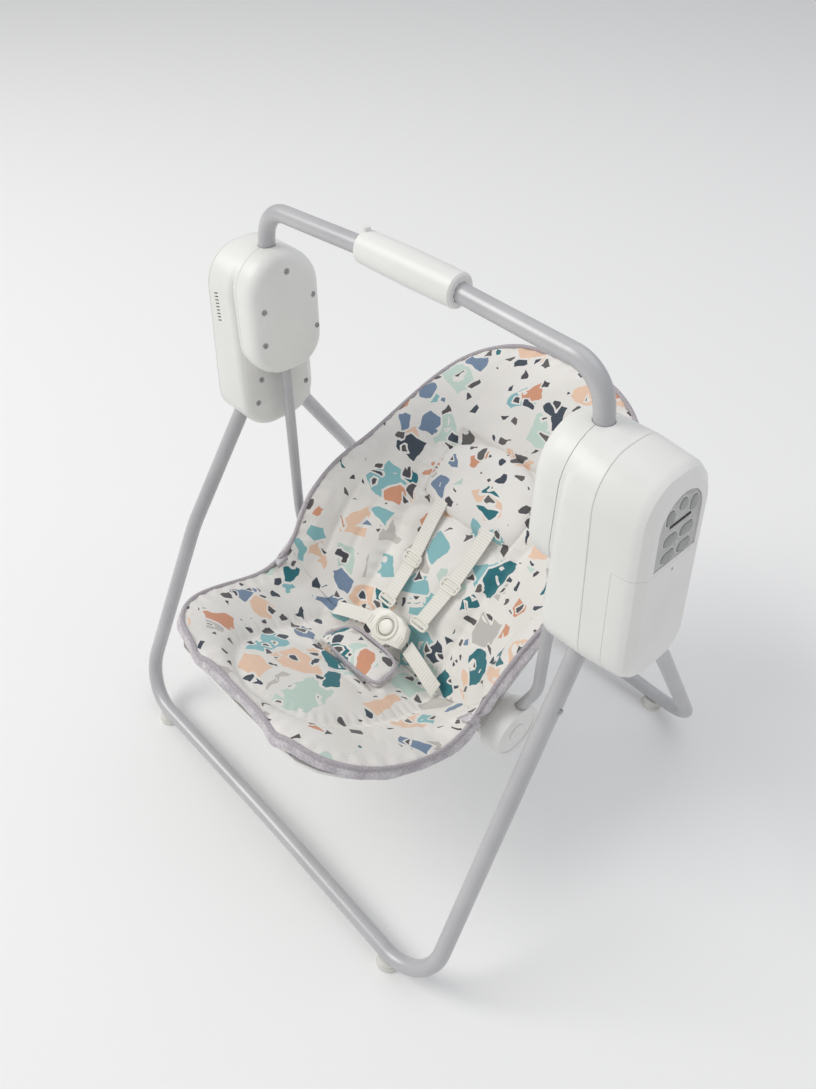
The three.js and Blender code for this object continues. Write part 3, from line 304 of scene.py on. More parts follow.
def solid_copy(nodes, soften_mm, sharp_past):
    """CAD solids as one connected mesh: flat faces whole, sharp edges marked and slightly rounded."""
    made = bmesh.new()
    for node_name in nodes:
        made.from_mesh(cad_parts[node_name].data)
    bmesh.ops.remove_doubles(made, verts=made.verts, dist=0.01 * MM)
    bmesh.ops.dissolve_limit(
        made, angle_limit=math.radians(0.6), verts=made.verts, edges=made.edges, delimit={"NORMAL"}
    )
    sharp = [e for e in made.edges if len(e.link_faces) == 2 and e.calc_face_angle() > sharp_past]
    if soften_mm:
        long_enough = [e for e in sharp if e.calc_length() > 2.2 * soften_mm * MM]
        bmesh.ops.bevel(
            made,
            geom=long_enough,
            offset=soften_mm * MM,
            affect="EDGES",
            segments=2,
            profile=0.5,
            material=-1,
            clamp_overlap=True,
        )
    for edge in made.edges:
        edge.smooth = len(edge.link_faces) == 2 and edge.calc_face_angle() < sharp_past
    return made


def from_solids(name, nodes, body, material, slot, soften_mm=0.0, sharp_past=SHARP):
    made = solid_copy(nodes, soften_mm, sharp_past)
    mesh = bpy.data.meshes.new(name)
    made.to_mesh(mesh)
    shown = piece(name, mesh, body, material)
    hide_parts(*nodes)
    return shown


# Injection-moulded ABS, warm white with a satin skin. The fine spark-eroded grain breaks the gloss,
# and handling leaves the white very slightly uneven.
white_abs, tree, shader = new_material("satin_white_abs", Roughness=0.4, IOR=1.52)
spot = grain_bump(tree, shader, 0.9, 0.02)
cast = two_tones(tree, shader, spot, 111, "E9E9E6", "F1F1EE", detail=4)
wear = add_node(tree, "ShaderNodeMapRange", {"Value": cast.outputs[0], "To Min": 0.34, "To Max": 0.47})
tree.links.new(wear.outputs[0], shader.inputs["Roughness"])

# The outer shells and the door have a crisp chamfer round their outer face.
CHAMFER = math.radians(17)


def white_moulding(name, node_name, body, **shaping):
    from_solids(name + "_moulding", [node_name], body, white_abs, "housing_white", **shaping)


for side in ("right", "left"):
    for shell, sharp_past in (("hub_cover", SHARP), ("frame_shell", SHARP), ("outer_shell", CHAMFER)):
        node_name = f"{side}_{shell}"
        white_moulding(node_name, node_name, "frame", sharp_past=sharp_past)
    white_moulding(side + "_drum", side + "_seat_bracket", "swing", soften_mm=1.2)
white_moulding("battery_door", "battery_door", "battery_door", sharp_past=CHAMFER)
white_moulding("grip", "handle_grip", "frame")
white_moulding("seat_shell", "seat_shell", "seat")


# ---------------------------------------------------------------- small moulded parts
# Soft feet under the floor bars, and the fittings of the housings: deep-set cross-head screws, a
# spring button in each leg and a cap on the seat's pivot in each drum.

# Thermoplastic rubber, a shade duller than the housings, with a matt moulded skin.
foot_rubber, tree, shader = new_material("matt_ivory_rubber", Roughness=0.72, IOR=1.48)
spot = grain_bump(tree, shader, 1.2, 0.05)
two_tones(tree, shader, spot, 16.7, "DAD9D4", "E8E7E2", detail=4)

# Zinc-plated steel: a bright bluish metal with a fine brushed unevenness.
zinc_steel, tree, shader = new_material("zinc_plated_steel", Metallic=1.0, Roughness=0.32)
spot = grain_bump(tree, shader, 0.5, 0.01)
two_tones(tree, shader, spot, 4.55, "8E9094", "B4B6B9")

for side in ("right", "left"):
    for end in ("front", "rear"):
        node_name = f"{side}_{end}_foot"
        from_solids(node_name + "_moulding", [node_name], end + "_leg", foot_rubber, "foot_rubber", 0.8)


def bvh_of(*nodes):
    """A search tree of the joined surfaces of several CAD nodes."""
    joined = bmesh.new()
    for node_name in nodes:
        joined.from_mesh(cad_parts[node_name].data)
    return BVHTree.FromBMesh(joined)


def disc(made, centre, axis, radius, height, sides=20, soften=0.3, recess=0.0):
    """Adds a flat round head to a mesh, standing height along axis, with an optional recess."""
    turn = Vector(axis).to_track_quat("Z", "Y").to_matrix().to_4x4()
    new = bmesh.ops.create_cone(
        made,
        cap_ends=True,
        segments=sides,
        radius1=radius * MM,
        radius2=radius * MM,
        depth=height * MM,
        matrix=Matrix.Translation(centre) @ turn,
    )["verts"]
    faces = {f for v in new for f in v.link_faces}
    top = max(faces, key=lambda f: f.calc_center_median().dot(Vector(axis)))
    if recess:
        bmesh.ops.inset_region(made, faces=[top], thickness=radius * 0.42 * MM)
        bmesh.ops.inset_region(made, faces=[top], thickness=0.15 * MM, depth=-recess * MM)
    edges = [e for v in new for e in v.link_edges if len(e.link_faces) == 2]
    rim = [e for e in set(edges) if e.calc_face_angle() > math.radians(60)]
    bmesh.ops.bevel(
        made, geom=rim, offset=soften * MM, affect="EDGES", segments=2, profile=0.5, material=-1
    )


def finished(made, name, body, material, sharp=SHARP):
    """A bmesh as a piece, with its edges past an angle kept sharp."""
    for edge in made.edges:
        edge.smooth = len(edge.link_faces) == 2 and edge.calc_face_angle() < sharp
    mesh = bpy.data.meshes.new(name)
    made.to_mesh(mesh)
    return piece(name, mesh, body, material)


# Screws sit in their dishes: five in each hub cover and three in each frame shell.
COVER_SCREWS = [(0, 646), (-36, 606), (36, 606), (-39, 564), (39, 564)]
SHELL_SCREWS = [(-29, 499), (-38, 468), (39, 470)]
for side, sign in (("right", 1), ("left", -1)):
    screws = bmesh.new()
    for shell, spots in (("hub_cover", COVER_SCREWS), ("frame_shell", SHELL_SCREWS)):
        surface = bvh_of(f"{side}_{shell}")
        for y, z in spots:
            seat_spot = surface.ray_cast(place(0, y, z), Vector((sign, 0, 0)))[0]
            disc(screws, seat_spot, (-sign, 0, 0), 3.2, 1.4, 16, 0.3, 0.6)
    finished(screws, side + "_housing_screws", "frame", zinc_steel)

# A leg has its spring button at this share of the way from its pivot to its knee.
BUTTON_SHARE = 0.42

for side, sign in (("right", 1), ("left", -1)):
    # The pivot's cap lies in the dished face of the drum.
    drum = bvh_of(f"{side}_seat_bracket")
    dished_face = drum.ray_cast(place(sign * 300, -19, 232), Vector((-sign, 0, 0)))[0]
    axis_spot = place(0, -19, 209)
    axis_spot.x = dished_face.x
    cap = bmesh.new()
    disc(cap, axis_spot, (sign, 0, 0), 11, 3.2, 28, 0.9, 0.8)
    finished(cap, side + "_pivot_cap", "swing", white_abs)
    # A spring button locks each leg below its housing.
    for leg, corners in (("front", front_leg_corners), ("rear", rear_leg_corners)):
        pivot, knee = (Vector(corners[i][0]) for i in (0, 1))
        x, y, z = pivot + (knee - pivot) * BUTTON_SHARE
        button = bmesh.new()
        disc(button, place(sign * (x + TUBE_R), y, z), (sign, 0, 0), 3.6, 3.0, 16, 1.0)
        finished(button, f"{side}_{leg}_spring_button", leg + "_leg", zinc_steel)


# ---------------------------------------------------------------- control panel
# A matt grey plate in the outer shell carries seven soft-touch buttons, each inside a paler printed
# ring, and a dark window for the indicator lamps.

# Grey polycarbonate film over the plate: even, with a fine sand texture.
panel_film, tree, shader = new_material("sand_textured_grey_film", Roughness=0.55, IOR=1.5)
spot = grain_bump(tree, shader, 0.5, 0.02)
two_tones(tree, shader, spot, 25, "C0C0BF", "CBCBC9")

# Silicone rubber keys, darker than the plate, with a soft matt skin.
key_silicone, tree, shader = new_material("matt_grey_silicone", Roughness=0.62, IOR=1.42)
spot = grain_bump(tree, shader, 0.7, 0.02)
two_tones(tree, shader, spot, 11.1, "A2A3A3", "AEAFAE")

# Screen-printed ink: the pale rings round the keys.
ring_ink, tree, shader = new_material("pale_grey_screen_print", Roughness=0.6)
spot = grain_bump(tree, shader, 0.4, 0.01)
two_tones(tree, shader, spot, 3.33, "E0E0DE", "E8E8E6", detail=1)

# Smoked acrylic: the window over the lamps, nearly black and glossy.
lamp_window, tree, shader = new_material("smoked_acrylic", Roughness=0.12, IOR=1.49)
spot = grain_bump(tree, shader, 3, 0.01)
two_tones(tree, shader, spot, 5, "1C1D1F", "2A2B2D", detail=1)

KEYS = {
    "power_button": (0, 629, 11, 10.9),
    "swing_speed_button": (-17, 622, 11, 15),
    "timer_button": (17, 622, 11, 15),
    "melody_button": (-12, 597, 19, 11),
    "nature_sound_button": (12, 597, 19, 11),
    "volume_down_button": (-12, 579, 19, 11),
    "volume_up_button": (12, 579, 19, 11),
}
from_solids("control_panel_plate", ["control_panel"], "frame", panel_film, "panel_grey", 0.3)
panel_face = bvh_of("control_panel")


def on_panel(y, z, lift=0.0):
    """The point of the panel's face at (y, z), even where the point itself lies in a cut."""
    inward = Vector((-1, 0, 0))
    around = ((0, 0), (0.6, 0), (-0.6, 0), (0, 0.6), (0, -0.6))
    hits = [panel_face.ray_cast(place(400, y + dy, z + dz), inward)[0] for dy, dz in around]
    found = place(0, y, z)
    found.x = max(hit.x for hit in hits if hit) + lift * MM
    return found


def pill_line(y, z, length, height, grow):
    """Points round a pill shape on the panel."""
    long_half, round_r = max(length, height) / 2, min(length, height) / 2
    line = []
    for k in range(36):
        a = math.tau * k / 36
        u = (round_r + grow) * math.cos(a) + math.copysign(long_half - round_r, math.cos(a))
        v = (round_r + grow) * math.sin(a)
        across, up = (u, v) if length > height else (v, u)
        line.append(on_panel(y + across, z + up, -0.1))
    return line


for name, (y, z, length, height) in KEYS.items():
    from_solids(name + "_key", [name], name, key_silicone, "button_grey", 0.7)
    swept(name + "_ring", pill_line(y, z, length, height, 1.1), 0.6, "frame", ring_ink, True, 2)
window_line = [on_panel(y, 611.4, -0.2) for y in range(-15, 16, 3)]
swept("indicator_window", window_line, 1.3, "frame", lamp_window, sides=3)
swept("lamp_lens", [on_panel(0, 588, -1), on_panel(0, 588, 0.4)], 1.5, "frame", ring_ink, sides=4)


# ---------------------------------------------------------------- padded seat cover
# One quilted cover lies in the bucket: woven polyester over wadding, sewn through along the bolster
# seams. Each pad is its solid remeshed, blown up between the seams by a cloth simulation, then
# puckered along the stitching.

# Woven polyester printed with a terrazzo of coloured chips. The weave is drawn at 1.3 mm, coarser
# than the real 0.4 mm, so that it holds at this size.
chip_cloth, tree, shader = new_material(
    "terrazzo_print_polyester", Roughness=0.82, Sheen_Weight=0.22, Sheen_Roughness=0.5
)
spot = add_node(tree, "ShaderNodeTexCoord")
drift = add_node(
    tree, "ShaderNodeTexNoise", {"Vector": spot.outputs["Object"], "Scale": 46, "Detail": 1.5}
)
push = add_node(
    tree,
    "ShaderNodeVectorMath",
    {0: drift.outputs["Color"], 1: (0.5, 0.5, 0.5)},
    operation="SUBTRACT",
)
wobble = add_node(tree, "ShaderNodeVectorMath", {0: push.outputs[0]}, operation="SCALE")
wobble.inputs["Scale"].default_value = 0.012
bent = add_node(
    tree, "ShaderNodeVectorMath", {0: spot.outputs["Object"], 1: wobble.outputs[0]}, operation="ADD"
)


def chips(under, cell_mm, keep, gap, colours, shift):
    """Printed chips over a colour: cells of a given size, some kept, each one colour in a white gap."""
    moved = add_node(tree, "ShaderNodeMapping", {"Vector": bent.outputs[0], "Location": shift})
    cell = add_node(tree, "ShaderNodeTexVoronoi", {"Vector": moved.outputs[0], "Scale": 1000 / cell_mm})
    edge = add_node(
        tree,
        "ShaderNodeTexVoronoi",
        {"Vector": moved.outputs[0], "Scale": 1000 / cell_mm},
        feature="DISTANCE_TO_EDGE",
    )
    parts = add_node(tree, "ShaderNodeSeparateColor", {0: cell.outputs["Color"]})
    limit = add_node(
        tree,
        "ShaderNodeMapRange",
        {"Value": parts.outputs[2], "To Min": gap * 0.6, "To Max": gap * 1.5},
    )
    inside = add_node(
        tree,
        "ShaderNodeMath",
        {0: edge.outputs["Distance"], 1: limit.outputs[0]},
        operation="GREATER_THAN",
    )
    kept = add_node(tree, "ShaderNodeMath", {0: parts.outputs[0], 1: keep}, operation="LESS_THAN")
    mask = add_node(
        tree, "ShaderNodeMath", {0: inside.outputs[0], 1: kept.outputs[0]}, operation="MULTIPLY"
    )
    halo = add_node(
        tree, "ShaderNodeMath", {0: limit.outputs[0], 1: gap * 0.55}, operation="SUBTRACT"
    )
    beside = add_node(
        tree,
        "ShaderNodeMath",
        {0: edge.outputs["Distance"], 1: halo.outputs[0]},
        operation="GREATER_THAN",
    )
    clear = add_node(
        tree, "ShaderNodeMath", {0: beside.outputs[0], 1: kept.outputs[0]}, operation="MULTIPLY"
    )
    cleared = add_node(tree, "ShaderNodeMix", {"Factor": clear.outputs[0]}, data_type="RGBA")
    tree.links.new(under, cleared.inputs[6])
    tree.links.new(cloth_white.outputs[0], cleared.inputs[7])
    palette = add_node(tree, "ShaderNodeValToRGB", {"Fac": parts.outputs[1]})
    stops = [(i / len(colours), linear(colour)) for i, colour in enumerate(colours)]
    ramp_stops(palette, stops, "CONSTANT")
    mixed = add_node(tree, "ShaderNodeMix", {"Factor": mask.outputs[0]}, data_type="RGBA")
    tree.links.new(cleared.outputs[2], mixed.inputs[6])
    tree.links.new(palette.outputs[0], mixed.inputs[7])
    return mixed.outputs[2]


ground = add_node(
    tree, "ShaderNodeTexNoise", {"Vector": spot.outputs["Object"], "Scale": 12, "Detail": 2}
)
cloth_white = add_node(tree, "ShaderNodeValToRGB", {"Fac": ground.outputs[0]})
ramp_stops(cloth_white, [(0.35, linear("E2DFDA")), (0.65, linear("EBE8E4"))])
pale_chips = ["C3D7CD", "E8C6AD", "BEBAB6", "87B9BE", "E8C6AD", "C4C0BB"]
bold_chips = ["246E78", "7388A2", "D29678", "3E4854", "87B9BE", "D29678", "246E78", "7388A2"]
dark_chips = ["555254", "4A4A50", "625E5E", "3E4854"]
colour = chips(cloth_white.outputs[0], 52, 0.6, 0.13, pale_chips, (0.013, 0.021, 0.007))
colour = chips(colour, 37, 0.46, 0.17, bold_chips, (0.41, 0.17, 0.33))
colour = chips(colour, 17, 0.36, 0.22, dark_chips, (0.73, 0.57, 0.91))
tree.links.new(colour, shader.inputs["Base Color"])


def woven_bump(tree, shader, spot, pitch_mm, height_mm):
    """Crossed yarns as relief: two wave patterns at right angles."""
    yarns = [
        add_node(
            tree,
            "ShaderNodeTexWave",
            {"Vector": spot.outputs["Object"], "Scale": 1000 / pitch_mm / math.tau, "Distortion": 1.5},
            bands_direction=direction,
        )
        for direction in ("X", "Y")
    ]
    crossed = add_node(
        tree, "ShaderNodeMath", {0: yarns[0].outputs[1], 1: yarns[1].outputs[1]}, operation="ADD"
    )
    bump = add_node(
        tree,
        "ShaderNodeBump",
        {"Height": crossed.outputs[0], "Strength": 0.5, "Distance": height_mm * MM},
    )
    tree.links.new(bump.outputs[0], shader.inputs["Normal"])


woven_bump(tree, shader, spot, 1.3, 0.06)

# Sewn seams as (x, y) lines seen from above, mirrored across the middle.
SEAMS = [
    [(58, 102), (88, 86), (86, 67), (83, 50), (82, 13), (82, -22)],
    [(0, -250), (45, -238), (78, -212), (97, -170), (104, -122), (104, -49)],
    [(88, 86), (104, 118), (112, 150)],
]
HEAD_PILLOW = (86, 101, 185)
LYING_ON = [
    "right_shoulder_strap",
    "left_shoulder_strap",
    "right_waist_strap",
    "left_waist_strap",
    "buckle_body",
    "crotch_pad",
]


def smooth_line(points, steps, closed=False):
    """A line through points, rounded at them."""
    count = len(points)
    last = count if closed else count - 1
    line = []
    for i in range(last):
        if closed:
            a, b, c, d = (points[(i + k) % count] for k in (-1, 0, 1, 2))
        else:
            a, b, c, d = (points[min(max(i + k, 0), count - 1)] for k in (-1, 0, 1, 2))
        for k in range(steps):
            t = k / steps
            line.append(
                b
                + (c - a) * (0.5 * t)
                + (a * 2 - b * 5 + c * 4 - d) * (0.5 * t * t)
                + (b * 3 - a - c * 3 + d) * (0.5 * t * t * t)
            )
    return line if closed else line + [points[-1]]


def search_points(points):
    tree_of_points = KDTree(len(points))
    for i, point in enumerate(points):
        tree_of_points.insert(point, i)
    tree_of_points.balance()
    return tree_of_points


# A place on the cover is found by looking straight down from above the seat.
ABOVE_SEAT = 900
DOWN = Vector((0, 0, -1))
cover_solids = bvh_of("seat_pan_pad", "seat_back_pad")
seam_spots = []
seam_run = []
for seam in SEAMS:
    for mirror in (1, -1):
        flat = smooth_line([Vector((mirror * x, y, 0)) for x, y in seam], 14)
        run = 0.0
        for before, stitch in zip([flat[0]] + flat, flat):
            hit = cover_solids.ray_cast(place(stitch.x, stitch.y, ABOVE_SEAT), DOWN)[0]
            run += (stitch - before).length
            if hit:
                seam_spots.append(hit)
                seam_run.append(run)
seam_search = search_points(seam_spots)
lying_search = bvh_of(*LYING_ON)


def edge_spots(made, past_degrees=50, pitch=0.004):
    """Points along the sharp edges of a mesh."""
    spots = []
    for edge in made.edges:
        if len(edge.link_faces) == 2 and edge.calc_face_angle() > math.radians(past_degrees):
            a, b = (v.co for v in edge.verts)
            steps = max(1, round((b - a).length / pitch))
            spots += [a.lerp(b, (k + 0.5) / steps) for k in range(steps)]
    return spots


def eased(value):
    t = min(max(value, 0.0), 1.0)
    return t * t * (3 - 2 * t)


def bell(distance, width):
    """1 at no distance, falling smoothly to nothing a few widths away."""
    return math.exp(-((distance / width) ** 2))


def gathers(run, pitch, sway, sway_run):
    """Gathers along a seam at a pitch in millimetres, as uneven as sewing leaves them."""
    return math.sin(run / pitch * math.tau + sway * math.sin(run / sway_run))


# Where the two pads of the cover come within FOLD_FROM of each other, in metres, they are drawn
# together, by a share of the gap that is full after FOLD_RUN more.
FOLD_SHARE = 0.57
FOLD_FROM = 0.036
FOLD_RUN = 0.013
# In metres: the padding reaches its full height over the slopes, away from a seam, from the rim and
# from STRAP_GAP off what lies on the cover. Nearer than the last two it is held still.
SEAM_SLOPE = 0.022
RIM_SLOPE = 0.026
STRAP_GAP = 0.003
STRAP_SLOPE = 0.02
STITCH_HELD = 0.005
STRAP_HELD = 0.006
# The faces of a pad that look up, by the height of their normal, are the ones that swell.
FACING_UP = 0.1
PUFF_FRAMES = 20
# The groove of the stitching: its depth in millimetres and its half width in metres.
GROOVE_DEPTH = 2.2
GROOVE_HALF = 0.0035
# About the rim's half width in millimetres, which turns an angle round it into a length.
RIM_REACH = 210


def quilted(name, node_name, beside_node, crown_mm, cap_mm, gather_mm):
    """A padded copy of a CAD pad, blown up between its seams and gathered along them."""
    solid = bmesh.new()
    solid.from_mesh(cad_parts[node_name].data)
    bmesh.ops.remove_doubles(solid, verts=solid.verts, dist=0.01 * MM)
    edge_search = search_points(edge_spots(solid))
    mesh = bpy.data.meshes.new(name)
    solid.to_mesh(mesh)
    pad = bpy.data.objects.new(name, mesh)
    bpy.context.scene.collection.objects.link(pad)
    remesh = pad.modifiers.new("remesh", "REMESH")
    remesh.mode = "VOXEL"
    remesh.voxel_size = 4 * MM
    remeshed = made_mesh(pad)
    pad.modifiers.clear()
    work = bmesh.new()
    work.from_mesh(remeshed)
    for _ in range(4):
        bmesh.ops.smooth_vert(
            work, verts=work.verts, factor=0.5, use_axis_x=True, use_axis_y=True, use_axis_z=True
        )
    # Where the two pads of the cover meet, each is drawn halfway across the gap into a fold.
    if beside_node:
        neighbour = bvh_of(beside_node)
        for vert in work.verts:
            beside, _, _, gap = neighbour.find_nearest(vert.co)
            vert.co = vert.co.lerp(beside, FOLD_SHARE * eased((FOLD_FROM - gap) / FOLD_RUN))
    work.normal_update()

    held = []
    room = []
    half, low, high = HEAD_PILLOW
    for vert in work.verts:
        seam_gap = seam_search.find(vert.co)[2]
        edge_gap = edge_search.find(vert.co)[2]
        above = lying_search.find_nearest(vert.co)[3]
        x = (vert.co.x - middle_x) / MM
        y = (vert.co.y - middle_y) / MM
        under_pillow = abs(x) < half - 6 and low + 4 < y < high - 4
        free = vert.normal.z > FACING_UP and not under_pillow
        lift = eased(seam_gap / SEAM_SLOPE) * eased(edge_gap / RIM_SLOPE)
        lift *= eased((above - STRAP_GAP) / STRAP_SLOPE)
        clear = min(seam_gap, edge_gap) > STITCH_HELD and above > STRAP_HELD
        held.append(0.0 if free and clear else 1.0)
        room.append(max(0.0, above - 0.0015))
        if free:
            vert.co += vert.normal * min(crown_mm * MM * lift, room[-1])
    work.to_mesh(mesh)
    start = [v.co.copy() for v in mesh.vertices]
    normals = [v.normal.copy() for v in mesh.vertices]

    pins = pad.vertex_groups.new(name="held")
    for index, weight in enumerate(held):
        pins.add([index], weight, "REPLACE")
    cloth = pad.modifiers.new("cloth", "CLOTH")
    cloth.settings.quality = 4
    cloth.settings.mass = 0.3
    cloth.settings.use_pressure = True
    cloth.settings.uniform_pressure_force = 4
    cloth.settings.effector_weights.gravity = 0
    cloth.settings.vertex_group_mass = "held"
    cloth.point_cache.frame_end = PUFF_FRAMES
    for step in range(1, PUFF_FRAMES + 1):
        bpy.context.scene.frame_set(step)
    blown = made_mesh(pad)
    pad.modifiers.clear()
    pad.vertex_groups.clear()
    for vert, rest_spot, gap in zip(blown.vertices, start, room):
        move = vert.co - rest_spot
        most = min(cap_mm * MM, max(0.0, gap - 0.001))
        if move.length > most:
            move *= most / max(move.length, 1e-9)
        mesh.vertices[vert.index].co = rest_spot + move
    bpy.context.scene.frame_set(1)

    # Stitching draws the cloth down along a seam and gathers it beside the seam and the rim.
    for vert, normal, gap in zip(mesh.vertices, normals, room):
        if normal.z < FACING_UP:
            continue
        _, seam_index, seam_gap = seam_search.find(vert.co)
        spot_edge, _, edge_gap = edge_search.find(vert.co)
        sink = GROOVE_DEPTH * bell(seam_gap, GROOVE_HALF)
        beside_seam = bell(seam_gap - 0.008, 0.007)
        beside_edge = bell(edge_gap - 0.009, 0.008)
        around = math.atan2(spot_edge.y - middle_y, spot_edge.x - middle_x) * RIM_REACH
        gather = beside_seam * gathers(seam_run[seam_index], 12, 2, 41)
        gather += beside_edge * gathers(around, 15, 2.4, 47)
        vert.co += normal * min(gather_mm * gather - sink, gap / MM) * MM
    pad.data.polygons.foreach_set("use_smooth", [True] * len(pad.data.polygons))
    pad.data.materials.append(chip_cloth)
    finer = pad.modifiers.new("finer", "SUBSURF")
    finer.levels = 1
    finer.render_levels = 1
    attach(pad, "seat")
    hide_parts(node_name)
    return pad


quilted("seat_pan_cushion", "seat_pan_pad", "seat_back_pad", 6, 9, 0.8)
quilted("seat_back_cushion", "seat_back_pad", "seat_pan_pad", 6, 9, 0.8)


# ---------------------------------------------------------------- cover border
# A grey corded piping runs round the whole rim, with a border of grey melange jersey gathered under
# it that wraps down over the edge of the bucket.

# Melange jersey: pale and dark grey yarns knitted together, drawn as streaks of about 2 mm.
melange, tree, shader = new_material(
    "grey_melange_jersey", Roughness=0.9, Sheen_Weight=0.3, Sheen_Roughness=0.5
)
spot = add_node(tree, "ShaderNodeTexCoord")
yarn = add_node(
    tree, "ShaderNodeTexNoise", {"Vector": spot.outputs["Object"], "Scale": 420, "Detail": 3}
)
patch = add_node(
    tree, "ShaderNodeTexNoise", {"Vector": spot.outputs["Object"], "Scale": 60, "Detail": 2}
)
both_yarns = add_node(
    tree, "ShaderNodeMath", {0: yarn.outputs[0], 1: patch.outputs[0]}, operation="ADD"
)
halved = add_node(tree, "ShaderNodeMath", {0: both_yarns.outputs[0], 1: 0.5}, operation="MULTIPLY")
tone = add_node(tree, "ShaderNodeValToRGB", {"Fac": halved.outputs[0]})
ramp_stops(tone, [(0.4, linear("B4AFB5")), (0.5, linear("C9C4C8")), (0.62, linear("DAD6D8"))])
tree.links.new(tone.outputs[0], shader.inputs["Base Color"])
woven_bump(tree, shader, spot, 1.4, 0.08)

# Corded piping: a darker, tighter grey weave round a filler cord.
piping_cloth, tree, shader = new_material("grey_corded_piping", Roughness=0.8, Sheen_Weight=0.2)
spot = add_node(tree, "ShaderNodeTexCoord")
two_tones(tree, shader, spot, 2, "A39DA3", "BBB5BA", (0.35, 0.65), detail=3)
woven_bump(tree, shader, spot, 1.2, 0.06)


# The rim is followed at points this far apart, in metres, and evened out this many times.
RIM_PITCH = 0.017
RIM_SMOOTHINGS = 14


def rim_line(nodes, centre, thickness_mm):
    """The edge of flat pads as a closed line round a centre, midway through their thickness."""
    solids = bmesh.new()
    for node_name in nodes:
        solids.from_mesh(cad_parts[node_name].data)
    bmesh.ops.remove_doubles(solids, verts=solids.verts, dist=0.01 * MM)
    sharp = {
        v.index: v.co.copy()
        for e in solids.edges
        if len(e.link_faces) == 2 and e.calc_face_angle() > math.radians(50)
        for v in e.verts
    }
    corners = list(sharp.values())
    around = [math.atan2(c.y - centre.y, c.x - centre.x) for c in corners]
    reach = [math.hypot(c.x - centre.x, c.y - centre.y) for c in corners]

    def widest(angle):
        """The farthest corner within a few degrees of an angle."""
        turns = [abs((a - angle + math.pi) % math.tau - math.pi) for a in around]
        return max(r for turn, r in zip(turns, reach) if turn < 0.14)

    outer = [c for a, c, r in zip(around, corners, reach) if r > 0.9 * widest(a)]
    search = search_points(outer)
    middles = []
    for corner in outer:
        pair = [spot for spot, _, gap in search.find_range(corner, 1.5 * thickness_mm * MM)]
        middles.append(sum(pair, Vector()) / len(pair))
    middles.sort(key=lambda c: math.atan2(c.y - centre.y, c.x - centre.x))
    spread = [middles[0]]
    for spot in middles[1:]:
        if (spot - spread[-1]).length > RIM_PITCH:
            spread.append(spot)
    if (spread[0] - spread[-1]).length < RIM_PITCH:
        spread.pop()
    line = smooth_line(spread, 6, closed=True)
    for _ in range(RIM_SMOOTHINGS):
        line = [(line[i - 1] + line[i] * 2 + line[(i + 1) % len(line)]) / 4 for i in range(len(line))]
    return line


JERSEY_THICK = 1.2


def border(name, line, centre, rows, body, material, surface):
    """A strip of cloth hanging from a line: rows are (drop, outward, wave) in millimetres."""
    made = bmesh.new()
    bmesh.ops.create_circle(made, segments=len(line))
    made.verts.ensure_lookup_table()
    order = [made.verts[0]]
    while len(order) < len(line):
        nexts = [e.other_vert(order[-1]) for e in order[-1].link_edges]
        order.append(next(v for v in nexts if v not in order[-2:]))
    downs = []
    outs = []
    for spot in line:
        outward = Vector((spot.x - centre.x, spot.y - centre.y, 0)).normalized()
        normal = surface.find_nearest(spot - outward * 0.02)[1]
        downs.append(-normal if normal.z > 0 else normal)
        outs.append(outward)
    ring = order
    for row, (drop, out, wave) in enumerate(rows):
        if row:
            touching = {e for v in ring for e in v.link_edges}
            edges = [e for e in touching if all(v in ring for v in e.verts)]
            grown = bmesh.ops.extrude_edge_only(made, edges=edges)["geom"]
            below = {}
            for vert in (g for g in grown if isinstance(g, bmesh.types.BMVert)):
                beside = [e.other_vert(vert) for e in vert.link_edges]
                below[next(v for v in beside if v in ring)] = vert
            ring = [below[v] for v in ring]
        run = 0.0
        for i, vert in enumerate(ring):
            run += (line[i] - line[i - 1]).length / MM
            ripple = wave * (math.sin(run / 19) + 0.6 * math.sin(run / 7.3 + 1))
            vert.co = line[i] + downs[i] * drop * MM + outs[i] * (out + ripple) * MM
    bmesh.ops.recalc_face_normals(made, faces=made.faces)
    bmesh.ops.solidify(made, geom=made.faces, thickness=JERSEY_THICK * MM)
    return finished(made, name, body, material, math.radians(80))


rim_centre = place(0, -10, 300)
cover_rim = rim_line(["seat_pan_pad", "seat_back_pad"], rim_centre, 5)
swept("cover_piping", cover_rim, 3.0, "seat", piping_cloth, closed=True, sides=4)
BORDER_ROWS = [
    (0, 1, 0),
    (4, 2.5, 0.2),
    (8, 2.5, 0.6),
    (12, 0.5, 1.0),
    (16, -4, 0.9),
    (20, -11, 0.5),
    (24, -20, 0.2),
]
border("cover_border", cover_rim, rim_centre, BORDER_ROWS, "seat", melange, cover_solids)


# ---------------------------------------------------------------- head pillow
# A small wadded pillow sewn on the back where the head rests. Its lower edge is loose, and the
# shoulder straps come out from under it.

